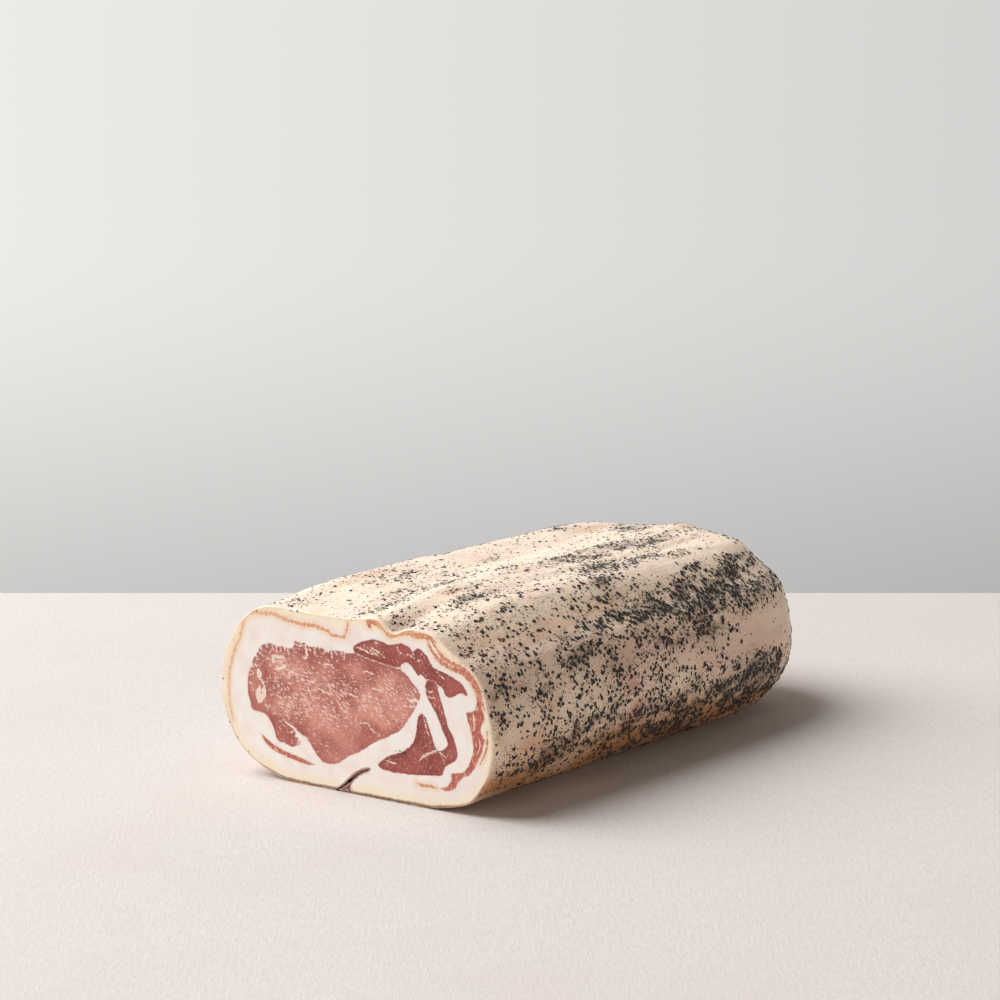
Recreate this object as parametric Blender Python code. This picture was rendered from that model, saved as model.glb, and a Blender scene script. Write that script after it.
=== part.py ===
"""Rolled pancetta: a cured pork belly rolled round a loin eye, cut square at one end and round at the other.

The roll lies along X with its cut face at the low end, Y runs across it and it rests on its flattened
underside at z = 0. Sizes below are in millimetres and are turned to metres when a mesh is made.
The fat body carries one long pocket for each muscle, open at the cut face, and each muscle is its own solid.
"""

import math
import random

import bmesh
import bpy
from mathutils import Matrix, Vector

MM = 0.001

# Driving dimensions of the roll
LENGTH = 298.0
BARREL_LENGTH = 185.0
END_BLUNTNESS = 3.4
END_CENTRE_HEIGHT = 50.0
END_DRIFT = 20.0
END_SKEW = 0.113
FACE_X = -149.0
CENTRE_Y = -0.4

# Height of the section and width of its near half along the roll, against the cut face: (x, height, near)
SWELL = (
    (0, 1.0, 1.0), (60, 1.070, 1.010), (120, 1.083, 1.021), (180, 1.070, 1.033), (240, 1.062, 1.046),
    (320, 1.060, 1.046),
)

# The muscles
MUSCLE_GAP = 0.3
MUSCLE_LENGTH = 262.0
MUSCLE_STATIONS = (55, 115, 175, 215, 245)
POCKET_OVERRUN = 5.0
SHARPEST_MITRE = 0.3

# How finely the shapes are divided
SKIN_POINTS = 79
BARREL_STATIONS = 13
END_STATIONS = 8
SPLINE_STEPS = 20
SKIN_TABLE_POINTS = 800
SHARP_EDGE = math.radians(35)

# Cracked pepper fused to the skin
PEPPER_COUNT = 122
PEPPER_SEED = 11
PEPPER_SIZE = (2.3, 3.4)
PEPPER_WIDTH = (0.55, 0.75)
PEPPER_THICKNESS = (0.4, 0.5)
PEPPER_UNEVENNESS = (0.86, 1.1)
PEPPER_SPACING = 6.0
PEPPER_SPREAD = 0.6
PEPPER_SUNK = 0.12
PEPPER_PLACES_X = (7.0, 284.0)
PEPPER_FROM_SEAM = 62.0

# Cut face outline (y, z), from the near lip of the seam, up the near side, over the top and back underneath
SKIN_OUTLINE = (
    (2, 0), (-15, 0), (-35, 0), (-48, 1), (-64, 5.2), (-71.6, 13.1), (-75.6, 20), (-77.5, 31.7),
    (-75.8, 45.5), (-71.6, 58.2), (-65.2, 65.3), (-57.1, 70.2), (-49.5, 75.6), (-43.5, 78.4), (-35, 79.4),
    (-28.5, 78.3), (-23, 76.2), (-17, 80.2), (-11.3, 81.5), (2.4, 79.8), (24.3, 79.4), (41.8, 80),
    (51, 79.4), (59, 76.3), (66.4, 70.1), (72, 61.8), (76, 53), (77.5, 42), (76.8, 32.3), (73.6, 23.4),
    (68.6, 14.9), (61.5, 8.8), (53, 4.4), (42, 0.8), (30, 0), (18, 0), (10.7, 0),
)

# The overlap seam under the roll, a hooked slot from the far lip up to its tip and back to the near lip
SEAM_SLOT = (
    (7.8, 1.7), (4.9, 3.6), (1.9, 6.8), (-1.5, 9.6), (-5.5, 11.8), (-9, 12.6), (-4.4, 10.5), (-0.9, 8.1),
    (2, 4.9), (2.6, 2.1),
)

LOIN_EYE = (
    (61.8, 41), (60.7, 47.7), (57, 53.8), (53.9, 59.8), (48.8, 62), (43.8, 61.5), (38, 61.2),
    (34.2, 62.2), (33, 65.4), (29, 66), (26.2, 63.4), (20.9, 64), (14.6, 63.3), (8, 63.9), (1.4, 63.9),
    (-6, 62.5), (-14.5, 61.2), (-22, 60.2), (-28.8, 59.4), (-33, 55.8), (-36.8, 52.4), (-37.8, 49.4),
    (-36.1, 45.5), (-32.2, 40), (-25.5, 32.3), (-13.1, 25.9), (-5.6, 21.2), (1.8, 17.3), (8, 13.4),
    (13, 11.7), (17.5, 12), (21.5, 15.2), (26.7, 21), (34.4, 24.6), (32, 20.7), (30.6, 18.4),
    (35.6, 16.2), (40, 17.6), (44.4, 18.6), (46.7, 24.1), (51.6, 29.4), (58.6, 30.4), (60.6, 35),
)

UPPER_FLANK = (
    (-0.8, 66.2), (-3.2, 69.2), (-7, 70.8), (-12.6, 72), (-17.9, 71.2), (-22, 70.8), (-28, 72.1),
    (-31.8, 71.2), (-33.8, 69.6), (-36.6, 71.1), (-39.6, 69.8), (-42, 67.9), (-43.7, 65.4), (-45.9, 63.4),
    (-53.2, 61.6), (-60.8, 58.2), (-63.6, 53.8), (-59.7, 54.1), (-53.4, 51.4), (-49.4, 55.8),
    (-45.4, 58.2), (-40.6, 58.6), (-38.4, 59.6), (-36.5, 59), (-33.5, 62.3), (-30.7, 63.7), (-27.9, 63.1),
    (-25.7, 61.8), (-20.5, 61.9), (-14.5, 62.8), (-6, 64.2),
)

LOWER_FLANK = (
    (-40.6, 54.5), (-42.8, 57), (-45.8, 56.4), (-48.3, 52.1), (-51, 44.9), (-53.4, 38.2), (-56.6, 33),
    (-58.1, 27.2), (-56.8, 23.8), (-51.6, 20.2), (-49.2, 16), (-41, 14.8), (-33.7, 14.1), (-21.4, 13.4),
    (-14.2, 15.4), (-19.8, 20.1), (-28.8, 24.2), (-33.4, 28), (-35.6, 34), (-36.7, 40.2), (-38.9, 42.3),
    (-41.6, 39.1), (-44.3, 32.3), (-47.6, 27), (-52.8, 30.4), (-50.2, 35.6), (-47.4, 42), (-42.4, 48.8),
)

RIM_STREAK = (
    (-69.2, 52.4), (-67.6, 48.4), (-65.4, 46.9), (-62.9, 46.2), (-63.9, 42.6), (-65.2, 39.6),
    (-66.4, 35.6), (-66.8, 31), (-65.8, 26.6), (-64.3, 22.6), (-61.2, 19.4), (-54.9, 17.7), (-54.9, 14),
    (-51.6, 11.3), (-48.6, 10.2), (-52.6, 9.4), (-56.9, 11.2), (-58.4, 14), (-61.6, 16.6), (-65.2, 18.9),
    (-68.3, 23.8), (-70.9, 28), (-72, 32.6), (-72.8, 35.6), (-70.8, 38.6), (-71.2, 41.6), (-72.8, 45),
    (-71.4, 49.2), (-70.2, 52.8),
)

LOWER_STREAK = (
    (53.6, 19.6), (48.6, 16.7), (41, 14.1), (32, 12.2), (22.4, 10.2), (26.6, 9.3), (34, 10.2), (42, 11.9),
    (47, 13.3), (51.8, 16.4),
)

# Colours and roughness
FAT_COLOUR = (0.78, 0.66, 0.52)
FAT_ROUGHNESS = 0.5
LEAN_ROUGHNESS = 0.45

# (node, outline, points round it, colour)
MUSCLES = (
    ("lean_eye", LOIN_EYE, 76, (0.47, 0.10, 0.10)),
    ("lean_flank_upper", UPPER_FLANK, 44, (0.36, 0.07, 0.07)),
    ("lean_flank_lower", LOWER_FLANK, 54, (0.40, 0.09, 0.08)),
    ("lean_rim_streak", RIM_STREAK, 34, (0.44, 0.12, 0.08)),
    ("lean_lower_streak", LOWER_STREAK, 22, (0.44, 0.12, 0.09)),
)

# Long furrows (negative) and raised bands (positive) of the skin, as (x from, x to, s there, s there, height,
# half width), with s the way round the skin from the near lip of the seam
BANDS = (
    (20, 255, 210, 232, -1.2, 7.0),
    (95, 270, 149, 150, 0.9, 6.5),
    (15, 250, 134, 137, -1.1, 6.0),
    (80, 230, 83, 87, -1.5, 6.0),
    (30, 300, 262, 258, -1.6, 7.0),
    (25, 300, 296, 290, -1.5, 6.5),
    (40, 300, 334, 340, -1.3, 7.5),
)

# Height up to which the underside keeps its plain form
FLAT_UNDERSIDE = 1.0

# Where the relief starts, round the skin from the seam and along it from the face, and how it fades in
RELIEF_FROM_SEAM = 52.0
RELIEF_FADE = 18.0
FACE_FADE = 30.0
END_FADE = 12.0
BAND_FADE = 28.0

# Broad lumps of the skin: (x, s, height, half length, half width)
LUMPS = (
    (40, 188, 1.0, 24, 10),
    (266, 196, 2.6, 30, 34),
    (282, 138, -2.8, 18, 28),
    (132, 243, -1.4, 16, 24),
    (205, 224, 1.2, 40, 26),
    (60, 112, 1.0, 34, 22),
    (190, 112, -1.2, 30, 20),
    (228, 90, 1.2, 26, 16),
    (84, 318, 1.2, 34, 26),
    (180, 305, -1.2, 30, 22),
)

# The notch of the cut's upper edge, which fills up along the roll: place round the skin, depth, half width,
# and the run over which it fills
NOTCH_PLACE = 181.0
NOTCH_DEPTH = 4.3
NOTCH_HALF_WIDTH = 5.6
NOTCH_RUN = (6.0, 46.0)

# Where the pepper lies thickest: (x, s, half length, half width, weight)
PEPPER_PATCHES = (
    (150, 134, 70, 13, 1.0),
    (215, 128, 45, 18, 1.0),
    (170, 192, 45, 10, 0.8),
    (232, 188, 26, 16, 0.8),
    (120, 158, 40, 12, 0.6),
    (40, 150, 36, 14, 0.6),
    (34, 112, 30, 20, 0.5),
    (110, 98, 60, 18, 0.5),
    (205, 84, 42, 14, 0.9),
    (250, 150, 30, 60, 0.6),
    (90, 200, 70, 14, 0.3),
    (60, 300, 60, 40, 0.5),
    (190, 310, 70, 50, 0.7),
)


def clear_scene():
    for obj in list(bpy.data.objects):
        bpy.data.objects.remove(obj, do_unlink=True)


def spline_points(points, closed):
    """Points along a smooth curve through the given ones."""
    count = len(points)
    if closed:
        padded = [points[-1], *points, points[0], points[1]]
        spans = count
    else:
        first = [2 * a - b for a, b in zip(points[0], points[1])]
        last = [2 * a - b for a, b in zip(points[-1], points[-2])]
        padded = [first, *points, last]
        spans = count - 1
    curve = []
    for span in range(spans):
        a, b, c, d = padded[span:span + 4]
        for step in range(SPLINE_STEPS):
            t = step / SPLINE_STEPS
            curve.append(tuple(
                b[k] + 0.5 * t * (c[k] - a[k] + t * (2 * a[k] - 5 * b[k] + 4 * c[k] - d[k]
                                                     + t * (3 * (b[k] - c[k]) + d[k] - a[k])))
                for k in (0, 1)
            ))
    curve.append(tuple(points[0] if closed else points[-1]))
    return curve


def resampled(curve, count, closed):
    """The curve as evenly spaced points, with the distance along it of each."""
    along = [0.0]
    for a, b in zip(curve, curve[1:]):
        along.append(along[-1] + math.dist(a, b))
    steps = count if closed else count - 1
    result = []
    place = 0
    for index in range(count):
        wanted = along[-1] * index / steps
        while place < len(curve) - 2 and along[place + 1] < wanted:
            place += 1
        t = (wanted - along[place]) / (along[place + 1] - along[place])
        a, b = curve[place], curve[place + 1]
        result.append((a[0] + t * (b[0] - a[0]), max(a[1] + t * (b[1] - a[1]), 0.0), wanted))
    return result


SKIN_CURVE = spline_points(SKIN_OUTLINE, closed=False)
SKIN_TABLE = resampled(SKIN_CURVE, SKIN_TABLE_POINTS, closed=False)
GIRTH = SKIN_TABLE[-1][2]


def swell(x):
    """Height of the section and width of its near half at this place along the roll."""
    for low, high in zip(SWELL, SWELL[1:]):
        if x <= high[0]:
            t = max(x - low[0], 0) / (high[0] - low[0])
            t = t * t * (3 - 2 * t)
            return low[1] + t * (high[1] - low[1]), low[2] + t * (high[2] - low[2])
    return SWELL[-1][1:]


def place(x, y, z):
    """Carries a point of the cut face's section to its place along the roll, in millimetres."""
    height, near = swell(x)
    end = min(max((x - BARREL_LENGTH) / (LENGTH - BARREL_LENGTH), 0.0), 1.0)
    shrink = (1 - end ** END_BLUNTNESS) ** (1 / END_BLUNTNESS)
    y = (y * near if y < 0 else y) * shrink + END_DRIFT * end * end
    z = END_CENTRE_HEIGHT + (z * height - END_CENTRE_HEIGHT) * shrink
    return Vector((x - END_SKEW * y * end + FACE_X, y + CENTRE_Y, z))


def window(x, start, stop, fade=BAND_FADE):
    """1 between start and stop, easing to 0 outside them."""
    t = min(max(min(x - start, stop - x) / fade, 0.0), 1.0)
    return t * t * (3 - 2 * t)


def relief(x, s):
    """How far the skin stands above the plain sweep, in millimetres."""
    height = 0.0
    for start, stop, s_from, s_to, amount, half_width in BANDS:
        t = min(max((x - start) / (stop - start), 0.0), 1.0)
        middle = s_from + t * (s_to - s_from)
        height += amount * math.exp(-(((s - middle) / half_width) ** 2)) * window(x, start, stop)
    for lump_x, lump_s, amount, half_length, half_width in LUMPS:
        height += amount * math.exp(-(((x - lump_x) / half_length) ** 2) - ((s - lump_s) / half_width) ** 2)
    along = window(x, 0, LENGTH + END_FADE, FACE_FADE)
    return height * along * window(s, RELIEF_FROM_SEAM, GIRTH - RELIEF_FROM_SEAM, RELIEF_FADE)


def notch_fill(x, s):
    """How far the notch of the cut's upper edge has filled up, in millimetres."""
    t = min(max((x - NOTCH_RUN[0]) / (NOTCH_RUN[1] - NOTCH_RUN[0]), 0.0), 1.0)
    return NOTCH_DEPTH * t * t * (3 - 2 * t) * math.exp(-(((s - NOTCH_PLACE) / NOTCH_HALF_WIDTH) ** 2))


def skin_section(s):
    """Section point (y, z) and its outward direction at this distance round the skin."""
    spot = s / GIRTH * (len(SKIN_TABLE) - 1)
    index = min(max(int(spot), 1), len(SKIN_TABLE) - 2)
    t = spot - index
    a, b = SKIN_TABLE[index], SKIN_TABLE[index + 1]
    before, after = SKIN_TABLE[index - 1], SKIN_TABLE[index + 1]
    along = Vector((after[0] - before[0], after[1] - before[1])).normalized()
    return a[0] + t * (b[0] - a[0]), a[1] + t * (b[1] - a[1]), along


def skin_point(x, s):
    """A point of the finished skin."""
    y, z, along = skin_section(s)
    if z <= FLAT_UNDERSIDE:
        return place(x, y, z)
    raised = relief(x, s)
    return place(x, y - along.y * raised, max(z + along.x * raised + notch_fill(x, s), 0.0))


def mesh_object(name, rings, tip=None):
    """A closed solid through rings of points, capped at both ends, or drawn to a tip at the far one."""
    bm = bmesh.new()
    loops = [[bm.verts.new(point * MM) for point in ring] for ring in rings]
    count = len(loops[0])
    for near, far in zip(loops, loops[1:]):
        for i in range(count):
            j = (i + 1) % count
            bm.faces.new((near[i], near[j], far[j], far[i]))
    bm.faces.new(loops[0])
    if tip is None:
        bm.faces.new(loops[-1])
    else:
        point = bm.verts.new(tip * MM)
        for i in range(count):
            bm.faces.new((loops[-1][i], loops[-1][(i + 1) % count], point))
    bmesh.ops.recalc_face_normals(bm, faces=bm.faces)
    mesh = bpy.data.meshes.new(name)
    bm.to_mesh(mesh)
    bm.free()
    mesh.shade_smooth()
    mesh.set_sharp_from_angle(angle=SHARP_EDGE)
    obj = bpy.data.objects.new(name, mesh)
    bpy.context.scene.collection.objects.link(obj)
    return obj


def station_places():
    """Distances along the roll of the skin's rings: even on the barrel, closer where the far end turns in."""
    barrel = [BARREL_LENGTH * i / (BARREL_STATIONS - 1) for i in range(BARREL_STATIONS)]
    quarter = math.pi / 2
    end = []
    for i in range(1, END_STATIONS):
        turn = quarter * i / END_STATIONS
        end.append(BARREL_LENGTH + (LENGTH - BARREL_LENGTH) * math.sin(turn) ** (2 / END_BLUNTNESS))
    return barrel + end


def make_body():
    """The fat roll without its pockets: the swept skin with the seam slot along its underside."""
    distances = [GIRTH * i / (SKIN_POINTS - 1) for i in range(SKIN_POINTS)]
    rings = []
    for x in station_places():
        ring = [skin_point(x, s) for s in distances]
        ring += [place(x, y, z) for y, z in SEAM_SLOT]
        rings.append(ring)
    return mesh_object("fat_roll", rings, tip=place(LENGTH, 0, END_CENTRE_HEIGHT))


def widened(outline, gap):
    """The closed outline with each side pushed out by a gap, its corners mitred."""
    count = len(outline)
    area = sum(outline[i - 1][0] * outline[i][1] - outline[i][0] * outline[i - 1][1] for i in range(count))
    side = math.copysign(1, area)
    result = []
    for i in range(count):
        before, here, after = Vector(outline[i - 1]), Vector(outline[i]), Vector(outline[(i + 1) % count])
        first, second = (here - before).normalized(), (after - here).normalized()
        along = (first + second).normalized()
        reach = side * gap / max(along.dot(first), SHARPEST_MITRE)
        result.append((here.x + reach * along.y, here.y - reach * along.x))
    return result


def muscle_rings(outline, extra=0.0):
    """A muscle's outline at its stations from the cut face, its far one pushed on by a little extra."""
    stations = (0, *MUSCLE_STATIONS, MUSCLE_LENGTH + extra)
    return [[place(x, y, z) for y, z in outline] for x in stations]


def make_muscle(name, outline, count):
    points = [point[:2] for point in resampled(spline_points(outline, closed=True), count, closed=True)]
    muscle = mesh_object(name, muscle_rings(points))
    rings = muscle_rings(widened(points, MUSCLE_GAP), MUSCLE_GAP)
    mouth = [Vector((point.x - POCKET_OVERRUN, point.y, point.z)) for point in rings[0]]
    return muscle, mesh_object(name + "_pocket", [mouth, *rings])


def pepper_places():
    """Evenly spaced spots, drawn by the weight of the patches, clear of the face and the underside."""
    rng = random.Random(PEPPER_SEED)
    spots = []
    while len(spots) < PEPPER_COUNT:
        patch = rng.choices(PEPPER_PATCHES, [p[4] * p[2] * p[3] for p in PEPPER_PATCHES])[0]
        x = rng.gauss(patch[0], patch[2] * PEPPER_SPREAD)
        s = rng.gauss(patch[1], patch[3] * PEPPER_SPREAD)
        from_seam = min(s, GIRTH - s)
        if not PEPPER_PLACES_X[0] < x < PEPPER_PLACES_X[1] or from_seam < PEPPER_FROM_SEAM:
            continue
        point = skin_point(x, s)
        if all((point - other).length > PEPPER_SPACING for other in spots):
            spots.append(point)
    return spots


def make_pepper(rng, body, spot, collection):
    """One cracked peppercorn flake, half sunk in the fat of the body nearest to the spot."""
    _, point, outward, _ = body.closest_point_on_mesh(spot * MM)
    length = rng.uniform(*PEPPER_SIZE)
    bm = bmesh.new()
    bmesh.ops.create_icosphere(bm, subdivisions=1, radius=0.5)
    sides = (length, length * rng.uniform(*PEPPER_WIDTH), length * rng.uniform(*PEPPER_THICKNESS))
    for vert in bm.verts:
        for axis, side in enumerate(sides):
            vert.co[axis] *= side * rng.uniform(*PEPPER_UNEVENNESS)
    turn = outward.to_track_quat("Z", "Y").to_matrix() @ Matrix.Rotation(rng.uniform(0, math.pi), 3, "Z")
    centre = point / MM - outward * PEPPER_SUNK * sides[2]
    for vert in bm.verts:
        vert.co = (turn @ vert.co + centre) * MM
    mesh = bpy.data.meshes.new("pepper")
    bm.to_mesh(mesh)
    bm.free()
    collection.objects.link(bpy.data.objects.new("pepper", mesh))


def apply_boolean(obj, collection, operation):
    """Joins or cuts with everything in a collection, then removes those objects."""
    modifier = obj.modifiers.new(operation.lower(), "BOOLEAN")
    modifier.operand_type = "COLLECTION"
    modifier.collection = collection
    modifier.operation = operation
    modifier.solver = "EXACT"
    bpy.context.view_layer.objects.active = obj
    bpy.ops.object.modifier_apply(modifier=modifier.name)
    for used in list(collection.objects):
        bpy.data.objects.remove(used, do_unlink=True)
    bpy.data.collections.remove(collection)


def hidden_collection(name, objects=()):
    collection = bpy.data.collections.new(name)
    bpy.context.scene.collection.children.link(collection)
    for obj in objects:
        bpy.context.scene.collection.objects.unlink(obj)
        collection.objects.link(obj)
    return collection


def add_material(obj, colour, roughness):
    material = bpy.data.materials.new(obj.name)
    material.use_nodes = True
    shader = material.node_tree.nodes["Principled BSDF"]
    shader.inputs["Base Color"].default_value = (*colour, 1)
    shader.inputs["Roughness"].default_value = roughness
    shader.inputs["Metallic"].default_value = 0
    obj.data.materials.clear()
    obj.data.materials.append(material)


def main():
    clear_scene()
    body = make_body()
    pockets = []
    for name, outline, count, colour in MUSCLES:
        muscle, pocket = make_muscle(name, outline, count)
        add_material(muscle, colour, LEAN_ROUGHNESS)
        pockets.append(pocket)
    apply_boolean(body, hidden_collection("pockets", pockets), "DIFFERENCE")
    rng = random.Random(PEPPER_SEED + 1)
    pepper = hidden_collection("pepper")
    for spot in pepper_places():
        make_pepper(rng, body, spot, pepper)
    apply_boolean(body, pepper, "UNION")
    add_material(body, FAT_COLOUR, FAT_ROUGHNESS)


main()
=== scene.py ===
"""Looks of a rolled pancetta: peppered skin, a cut face of fat and lean, and the seam along its underside.

Lengths are in millimetres and become metres when a mesh is made. The skin is laid out on a chart (x, s),
with x along the roll from the cut face and s the way round it from the near lip of the seam underneath.
The cut face is laid out as its section (y, z), with y across the roll and z up from the table.
"""

import math

import bmesh
import bpy
import numpy as np
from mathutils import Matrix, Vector, geometry, kdtree


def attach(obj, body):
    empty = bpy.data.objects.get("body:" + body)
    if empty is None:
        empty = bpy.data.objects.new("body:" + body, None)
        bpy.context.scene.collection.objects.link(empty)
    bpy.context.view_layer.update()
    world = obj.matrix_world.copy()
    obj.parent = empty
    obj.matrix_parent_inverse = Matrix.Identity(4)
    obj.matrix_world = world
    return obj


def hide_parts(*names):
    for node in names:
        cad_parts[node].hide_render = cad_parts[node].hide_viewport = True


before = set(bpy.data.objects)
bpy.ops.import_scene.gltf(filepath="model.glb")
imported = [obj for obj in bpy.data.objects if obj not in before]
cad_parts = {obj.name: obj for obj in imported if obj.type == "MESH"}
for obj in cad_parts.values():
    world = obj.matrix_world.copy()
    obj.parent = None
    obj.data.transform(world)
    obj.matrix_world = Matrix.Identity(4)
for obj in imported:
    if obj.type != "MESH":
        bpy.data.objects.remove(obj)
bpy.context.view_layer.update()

MM = 0.001

# Driving dimensions of the roll, the same as the part's own
LENGTH = 298.0
BARREL_LENGTH = 185.0
END_BLUNTNESS = 3.4
END_RADIUS = 70.0
END_SAMPLES = 4000
END_CENTRE_HEIGHT = 50.0
END_DRIFT = 20.0
END_SKEW = 0.113
FACE_X = -149.0
CENTRE_Y = -0.4
MUSCLE_STATIONS = (2.5, 60.0, 130.0, 200.0, 262.0)
SWELL = (
    (0, 1, 1), (60, 1.07, 1.01), (120, 1.083, 1.021), (180, 1.07, 1.033), (240, 1.062, 1.046),
    (320, 1.06, 1.046),
)
SKIN_OUTLINE = (
    (2, 0), (-15, 0), (-35, 0), (-48, 1), (-64, 5.2), (-71.6, 13.1), (-75.6, 20), (-77.5, 31.7),
    (-75.8, 45.5), (-71.6, 58.2), (-65.2, 65.3), (-57.1, 70.2), (-49.5, 75.6), (-43.5, 78.4), (-35, 79.4),
    (-28.5, 78.3), (-23, 76.2), (-17, 80.2), (-11.3, 81.5), (2.4, 79.8), (24.3, 79.4), (41.8, 80),
    (51, 79.4), (59, 76.3), (66.4, 70.1), (72, 61.8), (76, 53), (77.5, 42), (76.8, 32.3), (73.6, 23.4),
    (68.6, 14.9), (61.5, 8.8), (53, 4.4), (42, 0.8), (30, 0), (18, 0), (10.7, 0),
)
SEAM_SLOT = (
    (7.8, 1.7), (4.9, 3.6), (1.9, 6.8), (-1.5, 9.6), (-5.5, 11.8), (-9, 12.6), (-4.4, 10.5), (-0.9, 8.1),
    (2, 4.9), (2.6, 2.1),
)

LOIN_EYE = (
    (61.8, 41), (60.7, 47.7), (57, 53.8), (53.9, 59.8), (48.8, 62), (43.8, 61.5), (38, 61.2), (34.2, 62.2),
    (33, 65.4), (29, 66), (26.2, 63.4), (20.9, 64), (14.6, 63.3), (8, 63.9), (1.4, 63.9), (-6, 62.5),
    (-14.5, 61.2), (-22, 60.2), (-28.8, 59.4), (-33, 55.8), (-36.8, 52.4), (-37.8, 49.4), (-36.1, 45.5),
    (-32.2, 40), (-25.5, 32.3), (-13.1, 25.9), (-5.6, 21.2), (1.8, 17.3), (8, 13.4), (13, 11.7), (17.5, 12),
    (21.5, 15.2), (26.7, 21), (34.4, 24.6), (32, 20.7), (30.6, 18.4), (35.6, 16.2), (40, 17.6),
    (44.4, 18.6), (46.7, 24.1), (51.6, 29.4), (58.6, 30.4), (60.6, 35),
)
UPPER_FLANK = (
    (-0.8, 66.2), (-3.2, 69.2), (-7, 70.8), (-12.6, 72), (-17.9, 71.2), (-22, 70.8), (-28, 72.1),
    (-31.8, 71.2), (-33.8, 69.6), (-36.6, 71.1), (-39.6, 69.8), (-42, 67.9), (-43.7, 65.4), (-45.9, 63.4),
    (-53.2, 61.6), (-60.8, 58.2), (-63.6, 53.8), (-59.7, 54.1), (-53.4, 51.4), (-49.4, 55.8), (-45.4, 58.2),
    (-40.6, 58.6), (-38.4, 59.6), (-36.5, 59), (-33.5, 62.3), (-30.7, 63.7), (-27.9, 63.1), (-25.7, 61.8),
    (-20.5, 61.9), (-14.5, 62.8), (-6, 64.2),
)
LOWER_FLANK = (
    (-40.6, 54.5), (-42.8, 57), (-45.8, 56.4), (-48.3, 52.1), (-51, 44.9), (-53.4, 38.2), (-56.6, 33),
    (-58.1, 27.2), (-56.8, 23.8), (-51.6, 20.2), (-49.2, 16), (-41, 14.8), (-33.7, 14.1), (-21.4, 13.4),
    (-14.2, 15.4), (-19.8, 20.1), (-28.8, 24.2), (-33.4, 28), (-35.6, 34), (-36.7, 40.2), (-38.9, 42.3),
    (-41.6, 39.1), (-44.3, 32.3), (-47.6, 27), (-52.8, 30.4), (-50.2, 35.6), (-47.4, 42), (-42.4, 48.8),
)
RIM_STREAK = (
    (-69.2, 52.4), (-67.6, 48.4), (-65.4, 46.9), (-62.9, 46.2), (-63.9, 42.6), (-65.2, 39.6), (-66.4, 35.6),
    (-66.8, 31), (-65.8, 26.6), (-64.3, 22.6), (-61.2, 19.4), (-54.9, 17.7), (-54.9, 14), (-51.6, 11.3),
    (-48.6, 10.2), (-52.6, 9.4), (-56.9, 11.2), (-58.4, 14), (-61.6, 16.6), (-65.2, 18.9), (-68.3, 23.8),
    (-70.9, 28), (-72, 32.6), (-72.8, 35.6), (-70.8, 38.6), (-71.2, 41.6), (-72.8, 45), (-71.4, 49.2),
    (-70.2, 52.8),
)
LOWER_STREAK = (
    (53.6, 19.6), (48.6, 16.7), (41, 14.1), (32, 12.2), (22.4, 10.2), (26.6, 9.3), (34, 10.2), (42, 11.9),
    (47, 13.3), (51.8, 16.4),
)

# The muscles: (node, piece, slot, outline, raggedness of the edge, reach of the fibres at the upper edge)
MUSCLES = (
    ("lean_eye", "eye_lean_cut", "loin_lean", LOIN_EYE, 0.42, 1.5),
    ("lean_flank_upper", "upper_flank_cut", "dark_lean", UPPER_FLANK, 0.34, 0.5),
    ("lean_flank_lower", "lower_flank_cut", "dark_lean", LOWER_FLANK, 0.34, 0.3),
    ("lean_rim_streak", "rim_streak_cut", "streak_lean", RIM_STREAK, 0.50, 0.5),
    ("lean_lower_streak", "lower_streak_cut", "streak_lean", LOWER_STREAK, 0.35, 0.2),
)

# Long furrows and bands of the skin: (x from, x to, s at the first, s at the second, height, half width)
BANDS = (
    (20, 255, 210, 232, -1.2, 7), (95, 270, 149, 150, 0.9, 6.5), (15, 250, 134, 137, -1.1, 6),
    (80, 230, 83, 87, -1.5, 6), (30, 300, 262, 258, -1.6, 7), (25, 300, 296, 290, -1.5, 6.5),
    (40, 300, 334, 340, -1.3, 7.5),
)
BAND_FADE = 28.0
# Broad lumps of the skin: (x, s, half length, half width, height)
LUMPS = (
    (40, 188, 24, 10, 1), (266, 196, 30, 34, 2.6), (282, 138, 18, 28, -2.8), (132, 243, 16, 24, -1.4),
    (205, 224, 40, 26, 1.2), (60, 112, 34, 22, 1), (190, 112, 30, 20, -1.2), (228, 90, 26, 16, 1.2),
    (84, 318, 34, 26, 1.2), (180, 305, 30, 22, -1.2),
)

# The notch of the cut's upper edge, which fills up along the roll: place round the skin, depth, half width,
# and the run over which it fills
NOTCH_PLACE = 181.0
NOTCH_DEPTH = 4.3
NOTCH_HALF_WIDTH = 5.6
NOTCH_RUN = (6.0, 46.0)

# Layers of noise, each (height, size, seed): wrinkles and pits of the skin, the wavy edge of the lean, the
# cut's unevenness, the clumps of the pepper and how far its patches are drawn out of shape
WRINKLES = ((0.26, (22, 6, 6), 3), (0.16, (9, 3.6, 3.6), 4), (0.09, (3.4, 2.4, 2.4), 5))
EDGE_WAVES = ((0.55, 3.4, 21), (0.5, 1.5, 22), (0.35, 0.8, 23))
CUT_WAVES = ((0.10, 5.0, 41), (0.05, 1.8, 42))
PEPPER_CLUMPS = ((0.7, (13, 6), 51), (0.75, (5.5, 3.4), 52))
PEPPER_DRIFT_ALONG = ((7, (18, 12), 53),)
PEPPER_DRIFT_ACROSS = ((2.6, (16, 8), 54),)
# The folds where the far end is drawn together
GATHER_DEPTH = 0.9
GATHER_WIDTH = 15
GATHER_LENGTH = 50
# How far from the seam's lips the relief and the wrinkles begin, and over what length they rise
RELIEF_MARGIN = (52, 18)
WRINKLE_MARGIN = (38, 14)

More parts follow.
